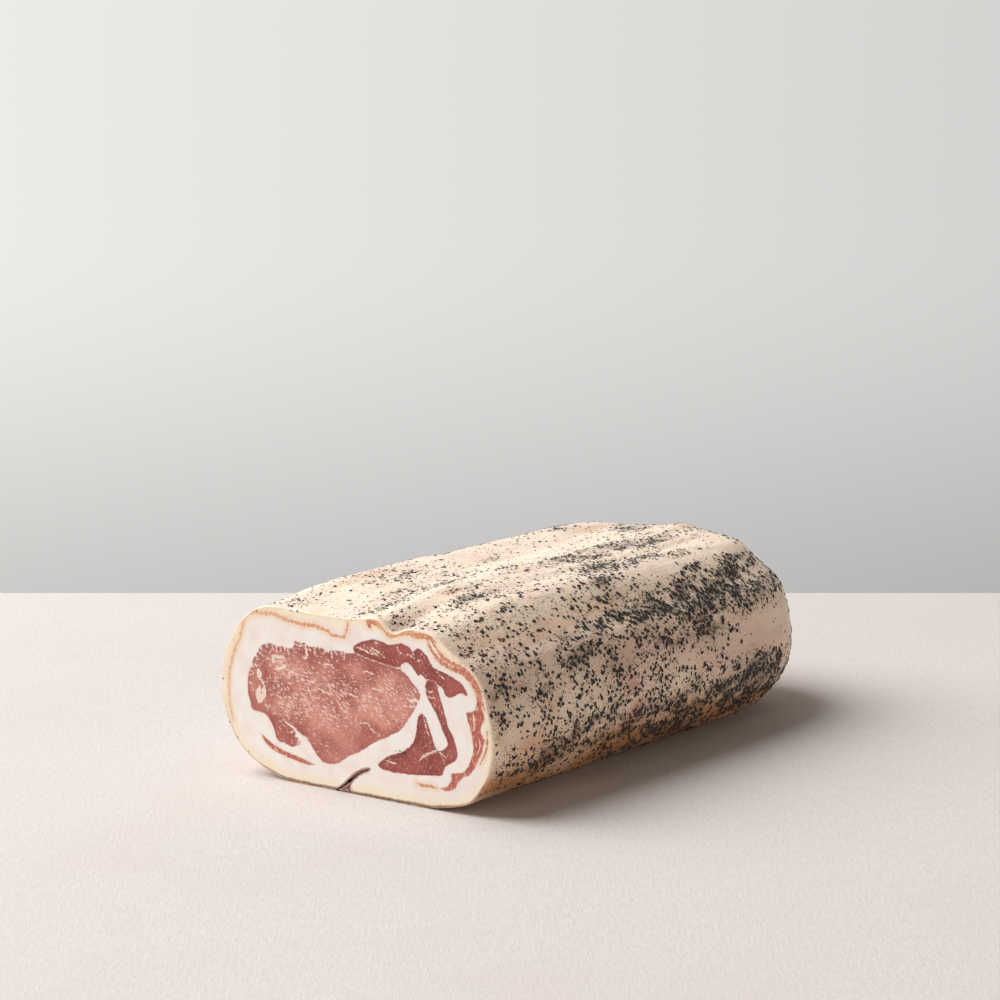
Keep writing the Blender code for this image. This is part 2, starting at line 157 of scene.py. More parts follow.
# How finely the skin and the cut are divided
SKIN_COUNT = 290
SLOT_COUNT = 26
RING_STEP = 1.6
RIM_ROUND = 0.7
RIM_TURNS = (90, 58, 28)
SLOT_ROUND = 0.25
FACE_STEP = 0.9
CONTOUR_STEP = 0.45
STROKE_STEP = 0.6
FINE_STEP = 0.15
STROKE_GAP = 0.3
EDGE_GAP = 0.4
GRID_GAP = 0.45
SHARP_ANGLE = math.radians(38)
SEAM_HALF_WIDTH = 0.34
LEAST_SEAM = 0.2
CLEFT_SEED = 5
CLEFTS_FROM_Y = 4.0
# Gaps of the pockets and of the muscles from the plain outline, how far the lean has dried back, and a
# distance that is far from every line
POCKET_GAP = 0.10
MUSCLE_GAP = 0.05
LEAN_SUNK = 0.28
FAR = 9.0
# The paste in the seam
PASTE_STATIONS = (0.05, 0.4, 20.0, 60.0, 110.0, 160.0, 200.0, 235.0, 262.0)
PASTE_BASE_COUNT = 7
PASTE_GAP = 0.06
PASTE_FLOOR = 0.35
PASTE_BEVEL = 0.25

# Orange lines left by the old skin side of the belly, as (half width, points); the first ends in a hook
RUST_HOOK = ((8.2, 70.9), (5.3, 70.8), (3.6, 73), (3, 75.4), (2.1, 79.1), (1.8, 80.5))
RUST_STROKES = (
    (0.72, ((70.8, 23.9), (72.5, 30.7), (72.9, 37.7), (72.9, 42.4), (72.5, 47.1), (71.2, 51), (69.6, 55.9),
            (68.3, 59.3), (66.4, 61.9), (64.9, 66.7), (63.6, 70.6), (62, 73.6), (60.2, 75.2), (51.9, 76),
            (47.1, 76.3), (43, 75.7), (38.9, 74.8), (34.2, 74.2), (29.5, 73.7), (25.4, 73.9), (20.8, 73.8),
            (17.9, 73), (14.5, 72.6), (11.6, 71.1), *RUST_HOOK)),
    (0.75, RUST_HOOK),
    (1.10, ((-8.6, 79.8), (-9.4, 78.4), (-10.6, 77.2))),
    (1.05, ((-7.9, 80.4), (-12.9, 79.6), (-15.2, 78.4), (-17.4, 77))),
    (1.25, ((-17.4, 77), (-20.2, 75.1), (-21.9, 74.7), (-25.2, 76.2), (-28.6, 77.3), (-32.4, 77.4),
            (-35.7, 76.6), (-39.1, 76.9), (-43.4, 76.4), (-46.4, 74.6))),
    (1.00, ((-41.8, 75.6), (-43.4, 72.3), (-46.7, 68.7), (-50, 66.5), (-54.3, 64.9), (-58.7, 64.1),
            (-62.4, 62.8), (-66.2, 59.8), (-68.4, 56.6), (-70, 52.9), (-71, 48.6), (-72.1, 44.8))),
    (0.80, ((-43.4, 76.2), (-46.2, 72.8), (-49.4, 69.9), (-53.6, 67.4), (-58.4, 66.2), (-62.8, 64.6),
            (-67.0, 61.2), (-69.8, 57.2), (-71.6, 52.6), (-72.8, 48.2))),
    (0.60, ((-35.4, 10.5), (-39, 10.1), (-43, 10.2), (-46.6, 10))),
    (0.30, ((-74.2, 39.6), (-74.4, 34.8), (-73.2, 29.6), (-70.6, 24.4))),
)
# Where the lean is marbled and where it is a deeper red: (y, z, half width, half height, weight)
MARBLING = (
    (40, 48, 12, 12, 0.85), (22, 46, 20, 12, 0.9), (0, 44, 20, 9, 0.85), (-22, 47, 13, 9, 0.8),
    (36, 36, 9, 7, 0.6), (10, 32, 14, 6, 0.45), (-48, 42, 5, 13, 0.75), (-12, 68, 10, 3, 0.5),
    (-41, 28, 4, 8, 0.3),
)
DEEP_RED = (
    (26, 61, 30, 4, 0.75), (2, 62, 16, 3, 0.5), (52, 42, 5, 18, 0.55), (37, 22, 9, 7, 0.9),
    (14, 17, 14, 6, 0.5), (-10, 25, 16, 5, 0.35), (-38, 66, 12, 5, 0.35), (-40, 40, 5, 7, 0.7),
    (-28, 19, 12, 4, 0.3), (-50, 22, 8, 5, 0.3),
)
# Where the old skin side is red instead of orange
RED_RIND = ((-9.5, 78.4, 2.6, 2.6, 1.0),)
# White fat that runs through the lean, as (half width, points)
WHITE_STROKES = (
    (1.7, ((55.4, 49.4), (55, 47.4), (54.6, 45.4))), (0.7, ((54.6, 46), (53, 44), (52.4, 42))),
    (1.3, ((52.4, 42.6), (52.3, 39.6), (52.6, 36))), (1.7, ((54.8, 41.4), (55.4, 38.4), (55.6, 34.6))),
    (1.5, ((54.4, 34.4), (54, 36.4), (53.4, 38.4))), (0.5, ((52, 33.7), (50.6, 33.2), (49.6, 32))),
    (0.9, ((47.2, 57), (44.2, 56.8), (39.4, 57.2))), (0.8, ((47, 56.6), (46.6, 54.8), (46.8, 53.4))),
    (0.35, ((46, 54.4), (43, 54.8), (39.6, 55.4))),
    (0.75, ((46, 51.2), (43.6, 51.3), (40, 53), (38, 54.1))),
    (0.4, ((39.7, 52.2), (35.3, 50.6), (31, 50.2))),
    (0.75, ((29.3, 59), (27.4, 58.4), (26.7, 61), (27.6, 64.4))),
    (0.35, ((18, 56.3), (13.7, 57.3), (9, 55))), (0.35, ((6.9, 46.2), (3.2, 45.6), (-2.6, 44.4))),
    (0.3, ((21.9, 46.1), (17.1, 44.4), (11.7, 43.5))), (0.3, ((29.4, 47.2), (26.7, 45.4), (24, 40.6))),
    (0.65, ((41.4, 28), (38.4, 26.8), (34.1, 24.9), (31.4, 22.8), (27.6, 21.5), (24.9, 19.3))),
    (0.35, ((-5.1, 56.6), (-8.6, 56.7), (-12, 56))), (0.3, ((-10.8, 49.8), (-14.8, 49.6), (-17.1, 50.4))),
    (0.3, ((8.5, 38.5), (5.6, 37.3), (2.7, 36))),
    (0.35, ((-2, 32.3), (-5.4, 33.2), (-8.3, 33), (-10.6, 30.6), (-14.7, 28.6))),
    (0.85, ((-31.6, 46.6), (-33.8, 47.6), (-37, 47.4))),
    (0.4, ((-33.4, 51.9), (-35.9, 51.5), (-38.6, 51.7))),
    (0.3, ((-31.2, 44.2), (-33.6, 44.5), (-36.4, 44.4))),
    (0.4, ((-9.4, 68), (-12.8, 67), (-16.2, 65.6), (-18, 64.4))),
    (0.45, ((-2, 67.2), (-5.5, 66.6), (-8.3, 65.6), (-11.4, 65))),
    (0.25, ((-6, 68.6), (-9, 67.2), (-12.6, 65.6), (-15, 63.8))),
    (0.3, ((-12.3, 71), (-13.7, 70.3), (-13.4, 69.1))), (0.35, ((-33.8, 71.7), (-34.1, 69.7), (-33.2, 67))),
    (0.28, ((-30.2, 67.5), (-32.4, 67), (-34.6, 66.3))),
    (0.22, ((-24.6, 70.4), (-26.2, 68.2), (-28.8, 66.8))), (0.28, ((-35.7, 65.1), (-38.2, 66.1))),
    (0.25, ((-47, 62), (-49.2, 60.2), (-51, 59.4))),
    (0.3, ((-39.4, 41.6), (-40.3, 39), (-41, 35.9), (-42.3, 32))),
    (0.5, ((-36.6, 20.5), (-39.2, 23), (-43.1, 25.3), (-46.8, 26.7), (-48.2, 28.6))),
    (0.35, ((-18, 18.1), (-21.5, 17.6), (-24.4, 17.5))),
    (0.35, ((-47.9, 26.8), (-49.3, 25.7), (-51.3, 24.6))), (0.3, ((-49.9, 23.5), (-50.9, 21.7))),
    (0.3, ((-40.6, 53.2), (-42.4, 52.4), (-44.6, 52.8))),
    (0.25, ((-41.6, 50.6), (-43.6, 50), (-45.4, 50.2))),
    (0.35, ((-66.6, 46.8), (-66.8, 44.1), (-67.1, 40.6), (-66.8, 38.7), (-65.4, 38.1))),
    (0.35, ((-63, 46.6), (-66, 47.3), (-69.3, 48.6))), (0.25, ((-69.4, 36.4), (-70.2, 32.6), (-69, 28.4))),
)

# How thick the cracked pepper lies on the skin, in grains on a square millimetre: (x, s, half length,
# half width, weight), negative where the skin is bare
PEPPER_BASE = 0.025
PEPPER_PATCHES = (
    (90, 118, 130, 26, 0.19), (130, 84, 100, 13, 0.2), (165, 134, 62, 12, 0.3), (218, 138, 30, 12, 0.24),
    (205, 91, 28, 11, 0.5), (155, 95, 40, 6, 0.14), (182, 118, 16, 6, 0.16), (215, 126, 24, 6, 0.14),
    (222, 143, 26, 8, 0.16), (190, 75, 40, 6, 0.12), (45, 176, 14, 5, 0.14), (130, 166, 14, 5, 0.14),
    (30, 214, 12, 5, 0.12), (70, 234, 14, 5, 0.1), (70, 106, 12, 5, -0.1), (130, 113, 14, 6, -0.08),
    (230, 156, 12, 5, -0.12), (145, 90, 30, 8, 0.16), (70, 94, 30, 7, 0.16), (38, 84, 20, 6, 0.22),
    (110, 80, 16, 6, 0.18), (165, 76, 22, 7, 0.18), (210, 76, 10, 6, 0.25), (8, 118, 9, 9, 0.2),
    (8, 140, 12, 10, 0.12), (70, 124, 16, 7, 0.12), (110, 142, 24, 6, 0.1), (120, 154, 14, 5, 0.26),
    (50, 155, 14, 6, 0.18), (20, 160, 26, 12, 0.1), (150, 167, 34, 6, 0.3), (185, 165, 26, 6, 0.18),
    (70, 165, 14, 6, 0.18), (50, 174, 16, 6, 0.22), (10, 174, 12, 6, 0.14), (170, 187, 36, 7, 0.42),
    (220, 187, 26, 7, 0.24), (120, 186, 20, 5, 0.14), (60, 186, 16, 5, 0.12), (10, 186, 12, 5, 0.16),
    (178, 196, 18, 5, 0.18), (212, 198, 10, 4, 0.06), (40, 208, 34, 9, 0.18), (62, 203, 12, 7, 0.1),
    (70, 236, 16, 7, 0.15), (8, 246, 9, 7, 0.18), (45, 248, 26, 6, 0.05), (90, 222, 14, 14, 0.05),
    (130, 227, 8, 4, 0.2), (112, 197, 7, 4, 0.14), (240, 218, 16, 9, 0.22), (150, 78, 60, 6, 0.12),
    (192, 148, 30, 6, 0.16), (214, 245, 9, 5, 0.24), (168, 116, 18, 3, 0.26), (182, 156, 30, 5, -0.16),
    (212, 107, 44, 8, -0.16), (222, 116, 18, 5, -0.12), (30, 97, 11, 5, -0.16), (90, 124, 22, 10, -0.08),
    (235, 112, 16, 20, -0.03), (50, 136, 14, 6, -0.08), (66, 146, 12, 5, -0.06), (30, 125, 12, 5, -0.08),
    (112, 105, 14, 6, -0.08), (150, 104, 12, 6, -0.1), (45, 194, 30, 4, -0.06), (275, 150, 22, 40, 0.06),
    (120, 268, 60, 12, 0.05), (210, 262, 40, 14, 0.06), (70, 300, 46, 14, 0.1), (190, 318, 60, 16, 0.14),
    (100, 332, 70, 14, 0.1), (260, 300, 34, 40, 0.08), (288, 40, 12, 60, 0.1), (288, 350, 12, 50, 0.1),
    (34, 286, 16, 8, 0.16), (128, 296, 26, 7, 0.18), (212, 284, 24, 8, 0.2), (160, 338, 30, 7, 0.2),
    (60, 322, 20, 7, 0.14),
)

# Specks of pepper on the rim of the cut and on the lean, as (y, z)
FACE_SPECKS = (
    (76.6, 42.5), (70, 61.5), (56, 76.6), (68.2, 16), (61.6, 10.4), (47.2, 3.6), (35.3, 79.2), (31.8, 79.4),
    (-24.3, 23.5), (-26.5, 23.6), (-28.2, 23.2), (-29.3, 23.1), (-9.4, 0.5), (-12.6, 0.7), (-15.7, 0.5),
    (-20.2, 0.6), (-25.3, 0.5), (-31, 0.6), (-43.1, 1.2), (14.6, 0.6), (19.4, 0.8), (24.8, 0.6), (33.5, 1),
)

# Colour of the fat under the pepper, as (x, s, half length, half width, weight)
HAZE = (
    (22, 118, 30, 14, 0.2), (100, 116, 24, 9, 0.2), (62, 128, 24, 8, 0.1), (215, 134, 26, 9, 0.14),
    (206, 92, 22, 9, 0.55), (244, 216, 18, 10, 0.4), (130, 227, 8, 4, 0.3), (214, 245, 9, 5, 0.3),
    (188, 194, 22, 6, 0.2), (120, 153, 12, 5, 0.2), (168, 116, 22, 4, 0.3),
)
PINK = (
    (205, 105, 30, 9, 0.5), (162, 112, 24, 9, 0.35), (120, 120, 30, 14, 0.3), (30, 130, 24, 8, 0.4),
    (100, 116, 18, 8, 0.35), (140, 240, 40, 10, 0.2),
)
STAINS = (
    (48, 187, 6, 2.5, 0.8), (28, 94, 13, 5, 0.5), (50, 86, 14, 5, 0.35), (16, 78, 20, 7, 0.5),
    (268, 196, 14, 8, 0.4), (43, 107, 5, 5, 0.35), (60, 246, 22, 5, 0.3), (232, 236, 22, 6, 0.35),
    (120, 82, 60, 4, 0.25), (6, 108, 4, 16, 0.3), (20, 145, 18, 7, 0.25), (60, 140, 22, 5, 0.25),
    (110, 143, 22, 4, 0.3),
)
BLOOD = (
    (104, 104, 7, 3, 0.55), (110, 94, 8, 4, 0.65), (104, 88, 8, 3, 0.4), (96, 110, 5, 3, 0.35),
    (88, 116, 9, 4, 0.2),
)

PEPPER_SEED = 11
LEAST_PEPPER = 0.006
LEAST_CLUMP = 0.08
# The kinds of grain: (piece, share and power of the density, least size, spread of the sizes and its power,
# sides, flatness, share sunk in the fat)
PEPPER_KINDS = (
    ("pepper_coarse", 0.76, 1.0, 1.25, 1.75, 1.5, 20, (0.16, 0.36), 0.42),
    ("pepper_fine", 1.5, 1.0, 0.45, 0.65, 1.3, 8, (0.2, 0.45), 0.4),
    ("pepper_brown", 0.6, 0.9, 0.5, 0.9, 1.5, 8, (0.16, 0.36), 0.42),
)
# Grains are finer on top of the roll, between these places round it
TOP_FINENESS = 0.22
TOP_NEAR = (150, 175)
TOP_FAR = (290, 265)
FLAKE_BREAKAGE = (0.72, 1.18)
FLAKE_WIDTH = (0.5, 0.92)
FLAKE_TILT = 0.13
SPECK_EXTRA = 0.35
GRAIN_FLOOR = 0.02

# Where the skin's colours change: pepper from which it is hazed, and places round it and along it
HAZE_FROM = (0.18, 0.60)
DUST_FROM = (0.02, 0.15)
# Where the orange-brown low on the skin, part browning and part painted shade, begins on the near and far
# sides
NEAR_BOTTOM = (100, 74)
FAR_BOTTOM = (92, 66)
# Where the dark brown low on the skin, part staining and part painted shade, begins round the skin and how
# it grows along it
GRIME_AND_SHADE_TOP = (90, 64)
GRIME_AND_SHADE_ALONG = (70, 150)
TAIL = (286, 252)


# Numbers, curves and noise

def smooth(value, low, high):
    """0 below low, 1 above high, eased in between."""
    t = np.clip((np.asarray(value, float) - low) / (high - low), 0, 1)
    return t * t * (3 - 2 * t)


def lattice(cells, seed):
    """A fixed number from -1 to 1 for each whole-numbered cell."""
    mixed = np.full(cells.shape[:-1], seed * 7919 + 17, np.uint64)
    for k, factor in zip(range(cells.shape[-1]), (73856093, 19349663, 83492791)):
        mixed = mixed ^ (cells[..., k].astype(np.int64).astype(np.uint64) * np.uint64(factor))
    for shift, factor in ((15, 0x2C1B3C6D), (12, 0x297A2D39), (15, 0x165667B1)):
        mixed = (mixed ^ (mixed >> np.uint64(shift))) * np.uint64(factor)
        mixed = mixed & np.uint64(0xFFFFFFFF)
    return (mixed & np.uint64(0xFFFFFF)).astype(float) / 0x7FFFFF - 1


def noise(points, size, seed):
    """Smooth noise from -1 to 1, its blobs about one size across."""
    points = np.asarray(points, float) / np.asarray(size, float)
    low = np.floor(points)
    t = points - low
    t = t * t * (3 - 2 * t)
    total = np.zeros(points.shape[:-1])
    for corner in np.ndindex(*(2,) * points.shape[-1]):
        weight = np.prod(np.where(np.array(corner, bool), t, 1 - t), axis=-1)
        total += weight * lattice(low + corner, seed)
    return total


def layered(points, layers, start=0):
    """The sum of several layers of noise, each (height, size, seed)."""
    return sum((height * noise(points, size, seed) for height, size, seed in layers), start)


def catmull_rom(points, closed, steps=20):
    """Points along a smooth curve through the given ones."""
    points = np.array(points, float)
    if closed:
        padded = np.vstack((points[-1:], points, points[:2]))
    else:
        padded = np.vstack((2 * points[0] - points[1], points, 2 * points[-1] - points[-2]))
    t = np.arange(steps)[:, None] / steps
    curve = []
    for a, b, c, d in zip(padded, padded[1:], padded[2:], padded[3:]):
        curve.append(b + 0.5 * t * (c - a + t * (2 * a - 5 * b + 4 * c - d + t * (3 * (b - c) + d - a))))
    curve.append(points[:1] if closed else points[-1:])
    return np.vstack(curve)


def spots(x, s, places):
    """The sum of round bumps, each (x, s, half length, half width, height)."""
    total = np.zeros(np.broadcast(x, s).shape)
    for at_x, at_s, half_length, half_width, weight in places:
        total = total + weight * np.exp(-(((x - at_x) / half_length) ** 2) - ((s - at_s) / half_width) ** 2)
    return total


def curve_length(curve):
    return float(np.linalg.norm(np.diff(curve, axis=0), axis=1).sum())


def evenly(curve, count, closed):
    """The curve as evenly spaced points."""
    steps = np.linalg.norm(np.diff(curve, axis=0), axis=1)
    along = np.concatenate(([0], np.cumsum(steps)))
    wanted = along[-1] * np.arange(count) / (count if closed else count - 1)
    return np.stack([np.interp(wanted, along, curve[:, k]) for k in range(curve.shape[1])], axis=1)


def unit(vectors):
    return vectors / np.maximum(np.linalg.norm(vectors, axis=-1, keepdims=True), 1e-9)


def outward(ring):
    """Unit normals of a closed ring that runs clockwise, as the skin does."""
    along = unit(np.roll(ring, -1, axis=0) - np.roll(ring, 1, axis=0))
    return np.stack((-along[:, 1], along[:, 0]), axis=1)


def clockwise(ring):
    y, z = ring.T
    area = np.sum(y * np.roll(z, -1) - np.roll(y, -1) * z)
    return ring[::-1] if area > 0 else ring


def inside(points, ring):
    """Which of the points lie inside the closed ring."""
    result = np.zeros(len(points), bool)
    for a, b in zip(ring, np.roll(ring, -1, axis=0)):
        if a[1] == b[1]:
            continue
        crosses = (a[1] > points[:, 1]) != (b[1] > points[:, 1])
        at = a[0] + (points[:, 1] - a[1]) / (b[1] - a[1]) * (b[0] - a[0])
        result ^= crosses & (points[:, 0] < at)
    return result


class Near:
    """Distances to a set of points in the section."""

    def __init__(self, points, widths=None):
        self.tree = kdtree.KDTree(len(points))
        for index, (y, z) in enumerate(points):
            self.tree.insert((y, z, 0), index)
        self.tree.balance()
        self.widths = widths

    def distance(self, points):
        """Distance to the nearest one, less its half width where the points have widths."""
        found = [self.tree.find((y, z, 0))[1:] for y, z in points]
        index = np.array([f[0] for f in found])
        away = np.array([f[1] for f in found])
        return away if self.widths is None else away - self.widths[index]


# The skin's surface

SKIN_CURVE = catmull_rom(SKIN_OUTLINE, closed=False)
SKIN_CURVE[:, 1] = np.maximum(SKIN_CURVE[:, 1], 0)
GIRTH = curve_length(SKIN_CURVE)


def swell(x):
    """Height of the section and width of its near half at this place along the roll."""
    height = np.full(np.shape(x), SWELL[-1][1], float)
    near = np.full(np.shape(x), SWELL[-1][2], float)
    for low, high in reversed(list(zip(SWELL, SWELL[1:]))):
        t = smooth(x, low[0], high[0])
        here = x <= high[0]
        height = np.where(here, low[1] + t * (high[1] - low[1]), height)
        near = np.where(here, low[2] + t * (high[2] - low[2]), near)
    return height, near


def end_share(x):
    return np.clip((x - BARREL_LENGTH) / (LENGTH - BARREL_LENGTH), 0, 1)


def place(x, y, z):
    """Carries section points to their place along the roll, in the part's own millimetres."""
    x, y, z = np.broadcast_arrays(np.asarray(x, float), y, z)
    height, near = swell(x)
    end = end_share(x)
    shrink = (1 - end ** END_BLUNTNESS) ** (1 / END_BLUNTNESS)
    y = np.where(y < 0, y * near, y) * shrink + END_DRIFT * end * end
    z = END_CENTRE_HEIGHT + (z * height - END_CENTRE_HEIGHT) * shrink
    return np.stack((x - END_SKEW * y * end + FACE_X, y + CENTRE_Y, z), axis=-1)


def window(x, start, stop, fade):
    """1 between start and stop, easing to 0 outside them."""
    return smooth(np.minimum(x - start, stop - x), 0, fade)


def margin(s, width, fade):
    """0 near both lips of the seam and 1 elsewhere."""
    return window(s, width, GIRTH - width, fade)


def relief(x, s):
    """How far the skin stands above the plain sweep."""
    height = np.zeros(np.broadcast(x, s).shape)
    for start, stop, s_from, s_to, amount, half_width in BANDS:
        middle = s_from + np.clip((x - start) / (stop - start), 0, 1) * (s_to - s_from)
        height += amount * np.exp(-(((s - middle) / half_width) ** 2)) * window(x, start, stop, BAND_FADE)
    height += spots(x, s, LUMPS)
    return height * window(x, 0, LENGTH + 12, 30) * margin(s, *RELIEF_MARGIN)


def notch_fill(x, s):
    """How far the notch of the cut's upper edge has filled up."""
    return NOTCH_DEPTH * smooth(x, *NOTCH_RUN) * np.exp(-(((s - NOTCH_PLACE) / NOTCH_HALF_WIDTH) ** 2))


def stations():
    """Distances along the roll of the skin's rings, evenly spaced over the barrel and round the far end."""
    barrel = np.linspace(RIM_ROUND, BARREL_LENGTH, int(BARREL_LENGTH / RING_STEP), endpoint=False)
    turn = np.linspace(0, math.pi / 2, END_SAMPLES)
    along = BARREL_LENGTH + (LENGTH - BARREL_LENGTH) * np.sin(turn) ** (2 / END_BLUNTNESS)
    radius = END_RADIUS * np.cos(turn) ** (2 / END_BLUNTNESS)
    curve = np.stack((along, radius), axis=1)
    count = int(curve_length(curve) / RING_STEP)
    return np.concatenate((barrel, evenly(curve, count + 1, closed=False)[:-1, 0]))


class Skin:
    """The skin as a grid of points: one row for each station and one column for each place round it."""

    def __init__(self):
        skin = evenly(SKIN_CURVE, SKIN_COUNT, closed=False)
        slot = catmull_rom((skin[-1], *SEAM_SLOT, skin[0]), closed=False)
        self.slot = slot = evenly(slot, SLOT_COUNT + 2, closed=False)
        self.ring = np.vstack((skin, slot[1:-1]))
        self.s = np.concatenate((np.linspace(0, GIRTH, SKIN_COUNT), np.zeros(SLOT_COUNT)))
        self.on_skin = np.arange(len(self.ring)) < SKIN_COUNT
        self.x = stations()
        self.points = self.swept()
        self.roughen()
        self.rim = self.rim_rings()

    def swept(self):
        x, s = self.x[:, None], self.s[None, :]
        raised = relief(x, s) * (self.on_skin & (self.ring[:, 1] > 1))
        normal = outward(self.ring)
        y = self.ring[:, 0] + normal[:, 0] * raised
        z = np.maximum(self.ring[:, 1] + normal[:, 1] * raised + notch_fill(x, s), 0)
        return place(x, y, z)

    def normals(self):
        round_way = np.roll(self.points, -1, axis=1) - np.roll(self.points, 1, axis=1)
        along = np.gradient(self.points, axis=0)
        return unit(np.cross(along, round_way))

    def roughen(self):
        """Small wrinkles along the roll, pits, and shallow folds where the far end is drawn together."""
        x, s = self.x[:, None], self.s[None, :]
        p = self.points
        height = layered(p, WRINKLES)
        chart = np.stack(np.broadcast_arrays(s / GATHER_WIDTH, x / GATHER_LENGTH), axis=-1)
        height += GATHER_DEPTH * noise(chart, 1, 6) * smooth(end_share(x), 0.62, 0.97)
        height *= margin(s, *WRINKLE_MARGIN) * self.on_skin * smooth(x, 1.0, 5.0)
        self.points = p + self.normals() * height[..., None]
        self.points[..., 2] = np.maximum(self.points[..., 2], 0)

    def rim_rings(self):
        """Rings that round the edge of the cut, from the flat face outwards, as (x, section ring)."""
        normal = outward(self.ring)
        reach = np.where(self.on_skin, RIM_ROUND, SLOT_ROUND)
        uneven = 1 + 0.35 * noise(self.ring, 3.0, 8)
        rings = []
        for turn in np.radians(RIM_TURNS):
            inset = reach * uneven * (1 - math.cos(turn))
            x = RIM_ROUND * (1 - math.sin(turn))
            rings.append((x, self.ring - normal * inset[:, None]))
        return rings


# The cut face

def plain_contour(outline):
    """The smooth edge of a muscle, clockwise and evenly spaced."""
    curve = catmull_rom(outline, closed=True)
    return clockwise(evenly(curve, int(curve_length(curve) / CONTOUR_STEP), closed=True))


def ragged_contour(plain, gap, ragged, reach):
    """The lean's edge at the cut: fibres reach into the fat, and only a thin seam parts two muscles."""
    normal = outward(plain)
    wave = layered(plain, EDGE_WAVES)
    whole = smooth(np.abs(noise(plain, 2.9, 24)), 0.0, 0.20)
    fingers = whole * (0.30 + 0.45 * noise(plain, 4.2, 25)) - 0.75 * (1 - whole)
    upper = smooth(normal[:, 1], 0.1, 0.7) * smooth(plain[:, 0], 2, 22)
    upper += smooth(normal[:, 0], 0.5, 0.9) * smooth(plain[:, 1], 42, 52) * 0.8
    push = ragged * wave + reach * fingers * upper
    meeting = smooth(gap, 3.0, 1.8)
    push += meeting * (gap / 2 - SEAM_HALF_WIDTH - push + 0.12 * wave)
    return plain + normal * np.minimum(push, gap / 2 - LEAST_SEAM)[:, None], plain, normal


def clefts(plain):
    """Short slits of fat that part the bundles of fibre along the eye's upper and outer edge."""
    normal = outward(plain)
    random = np.random.default_rng(CLEFT_SEED)
    strokes, since = [], 0.0
    for (y, z), (out_y, out_z) in zip(plain, normal):
        since += CONTOUR_STEP
        if y < CLEFTS_FROM_Y or (out_z < 0.3 and not (out_y > 0.6 and z > 42)):
            continue
        if since < random.uniform(1.6, 6.0):
            continue
        since = 0.0
        length = random.uniform(1.4, 3.8)
        slant = random.uniform(-0.5, 0.5)
        across, along = out_y + slant * out_z, out_z - slant * out_y
        reach = ((0.9, 0.0), (-0.4 * length, 0.15), (-length, -0.1))
        points = [(y + across * out + along * bend, z + along * out - across * bend) for out, bend in reach]
        strokes.append((random.uniform(0.22, 0.42), points))
    return strokes


def stroke_samples(strokes, step):
    """Points close together along the strokes, with the half width at each, and points beside them."""
    points, widths, beside = [], [], []
    for half_width, outline in strokes:
        curve = catmull_rom(outline, closed=False)
        count = max(int(curve_length(curve) / step), 3)
        line = evenly(curve, count, closed=False)
        taper = np.minimum(np.linspace(0, 1, count), np.linspace(1, 0, count)) * 2
        along = unit(np.gradient(line, axis=0))
        side = np.stack((-along[:, 1], along[:, 0]), axis=1)
        points.append(line)
        widths.append(half_width * (0.35 + 0.65 * smooth(taper, 0, 0.5)))
        beside += [line + side * (half_width + 0.25), line - side * (half_width + 0.25)]
    return np.vstack(points), np.concatenate(widths), np.vstack(beside)


def hex_points(low, high, step):
    """Points in a honeycomb between two corners, each a little out of its place."""
    rows = np.arange(low[1], high[1], step * math.sqrt(3) / 2)
    columns = np.arange(low[0], high[0], step)
    y, z = np.meshgrid(columns, rows)
    y = y + (np.arange(len(rows)) % 2 * step / 2)[:, None]
    points = np.stack((y.ravel(), z.ravel()), axis=1)
    return points + 0.22 * step * np.stack((noise(points, 0.5, 31), noise(points, 0.5, 32)), axis=1)


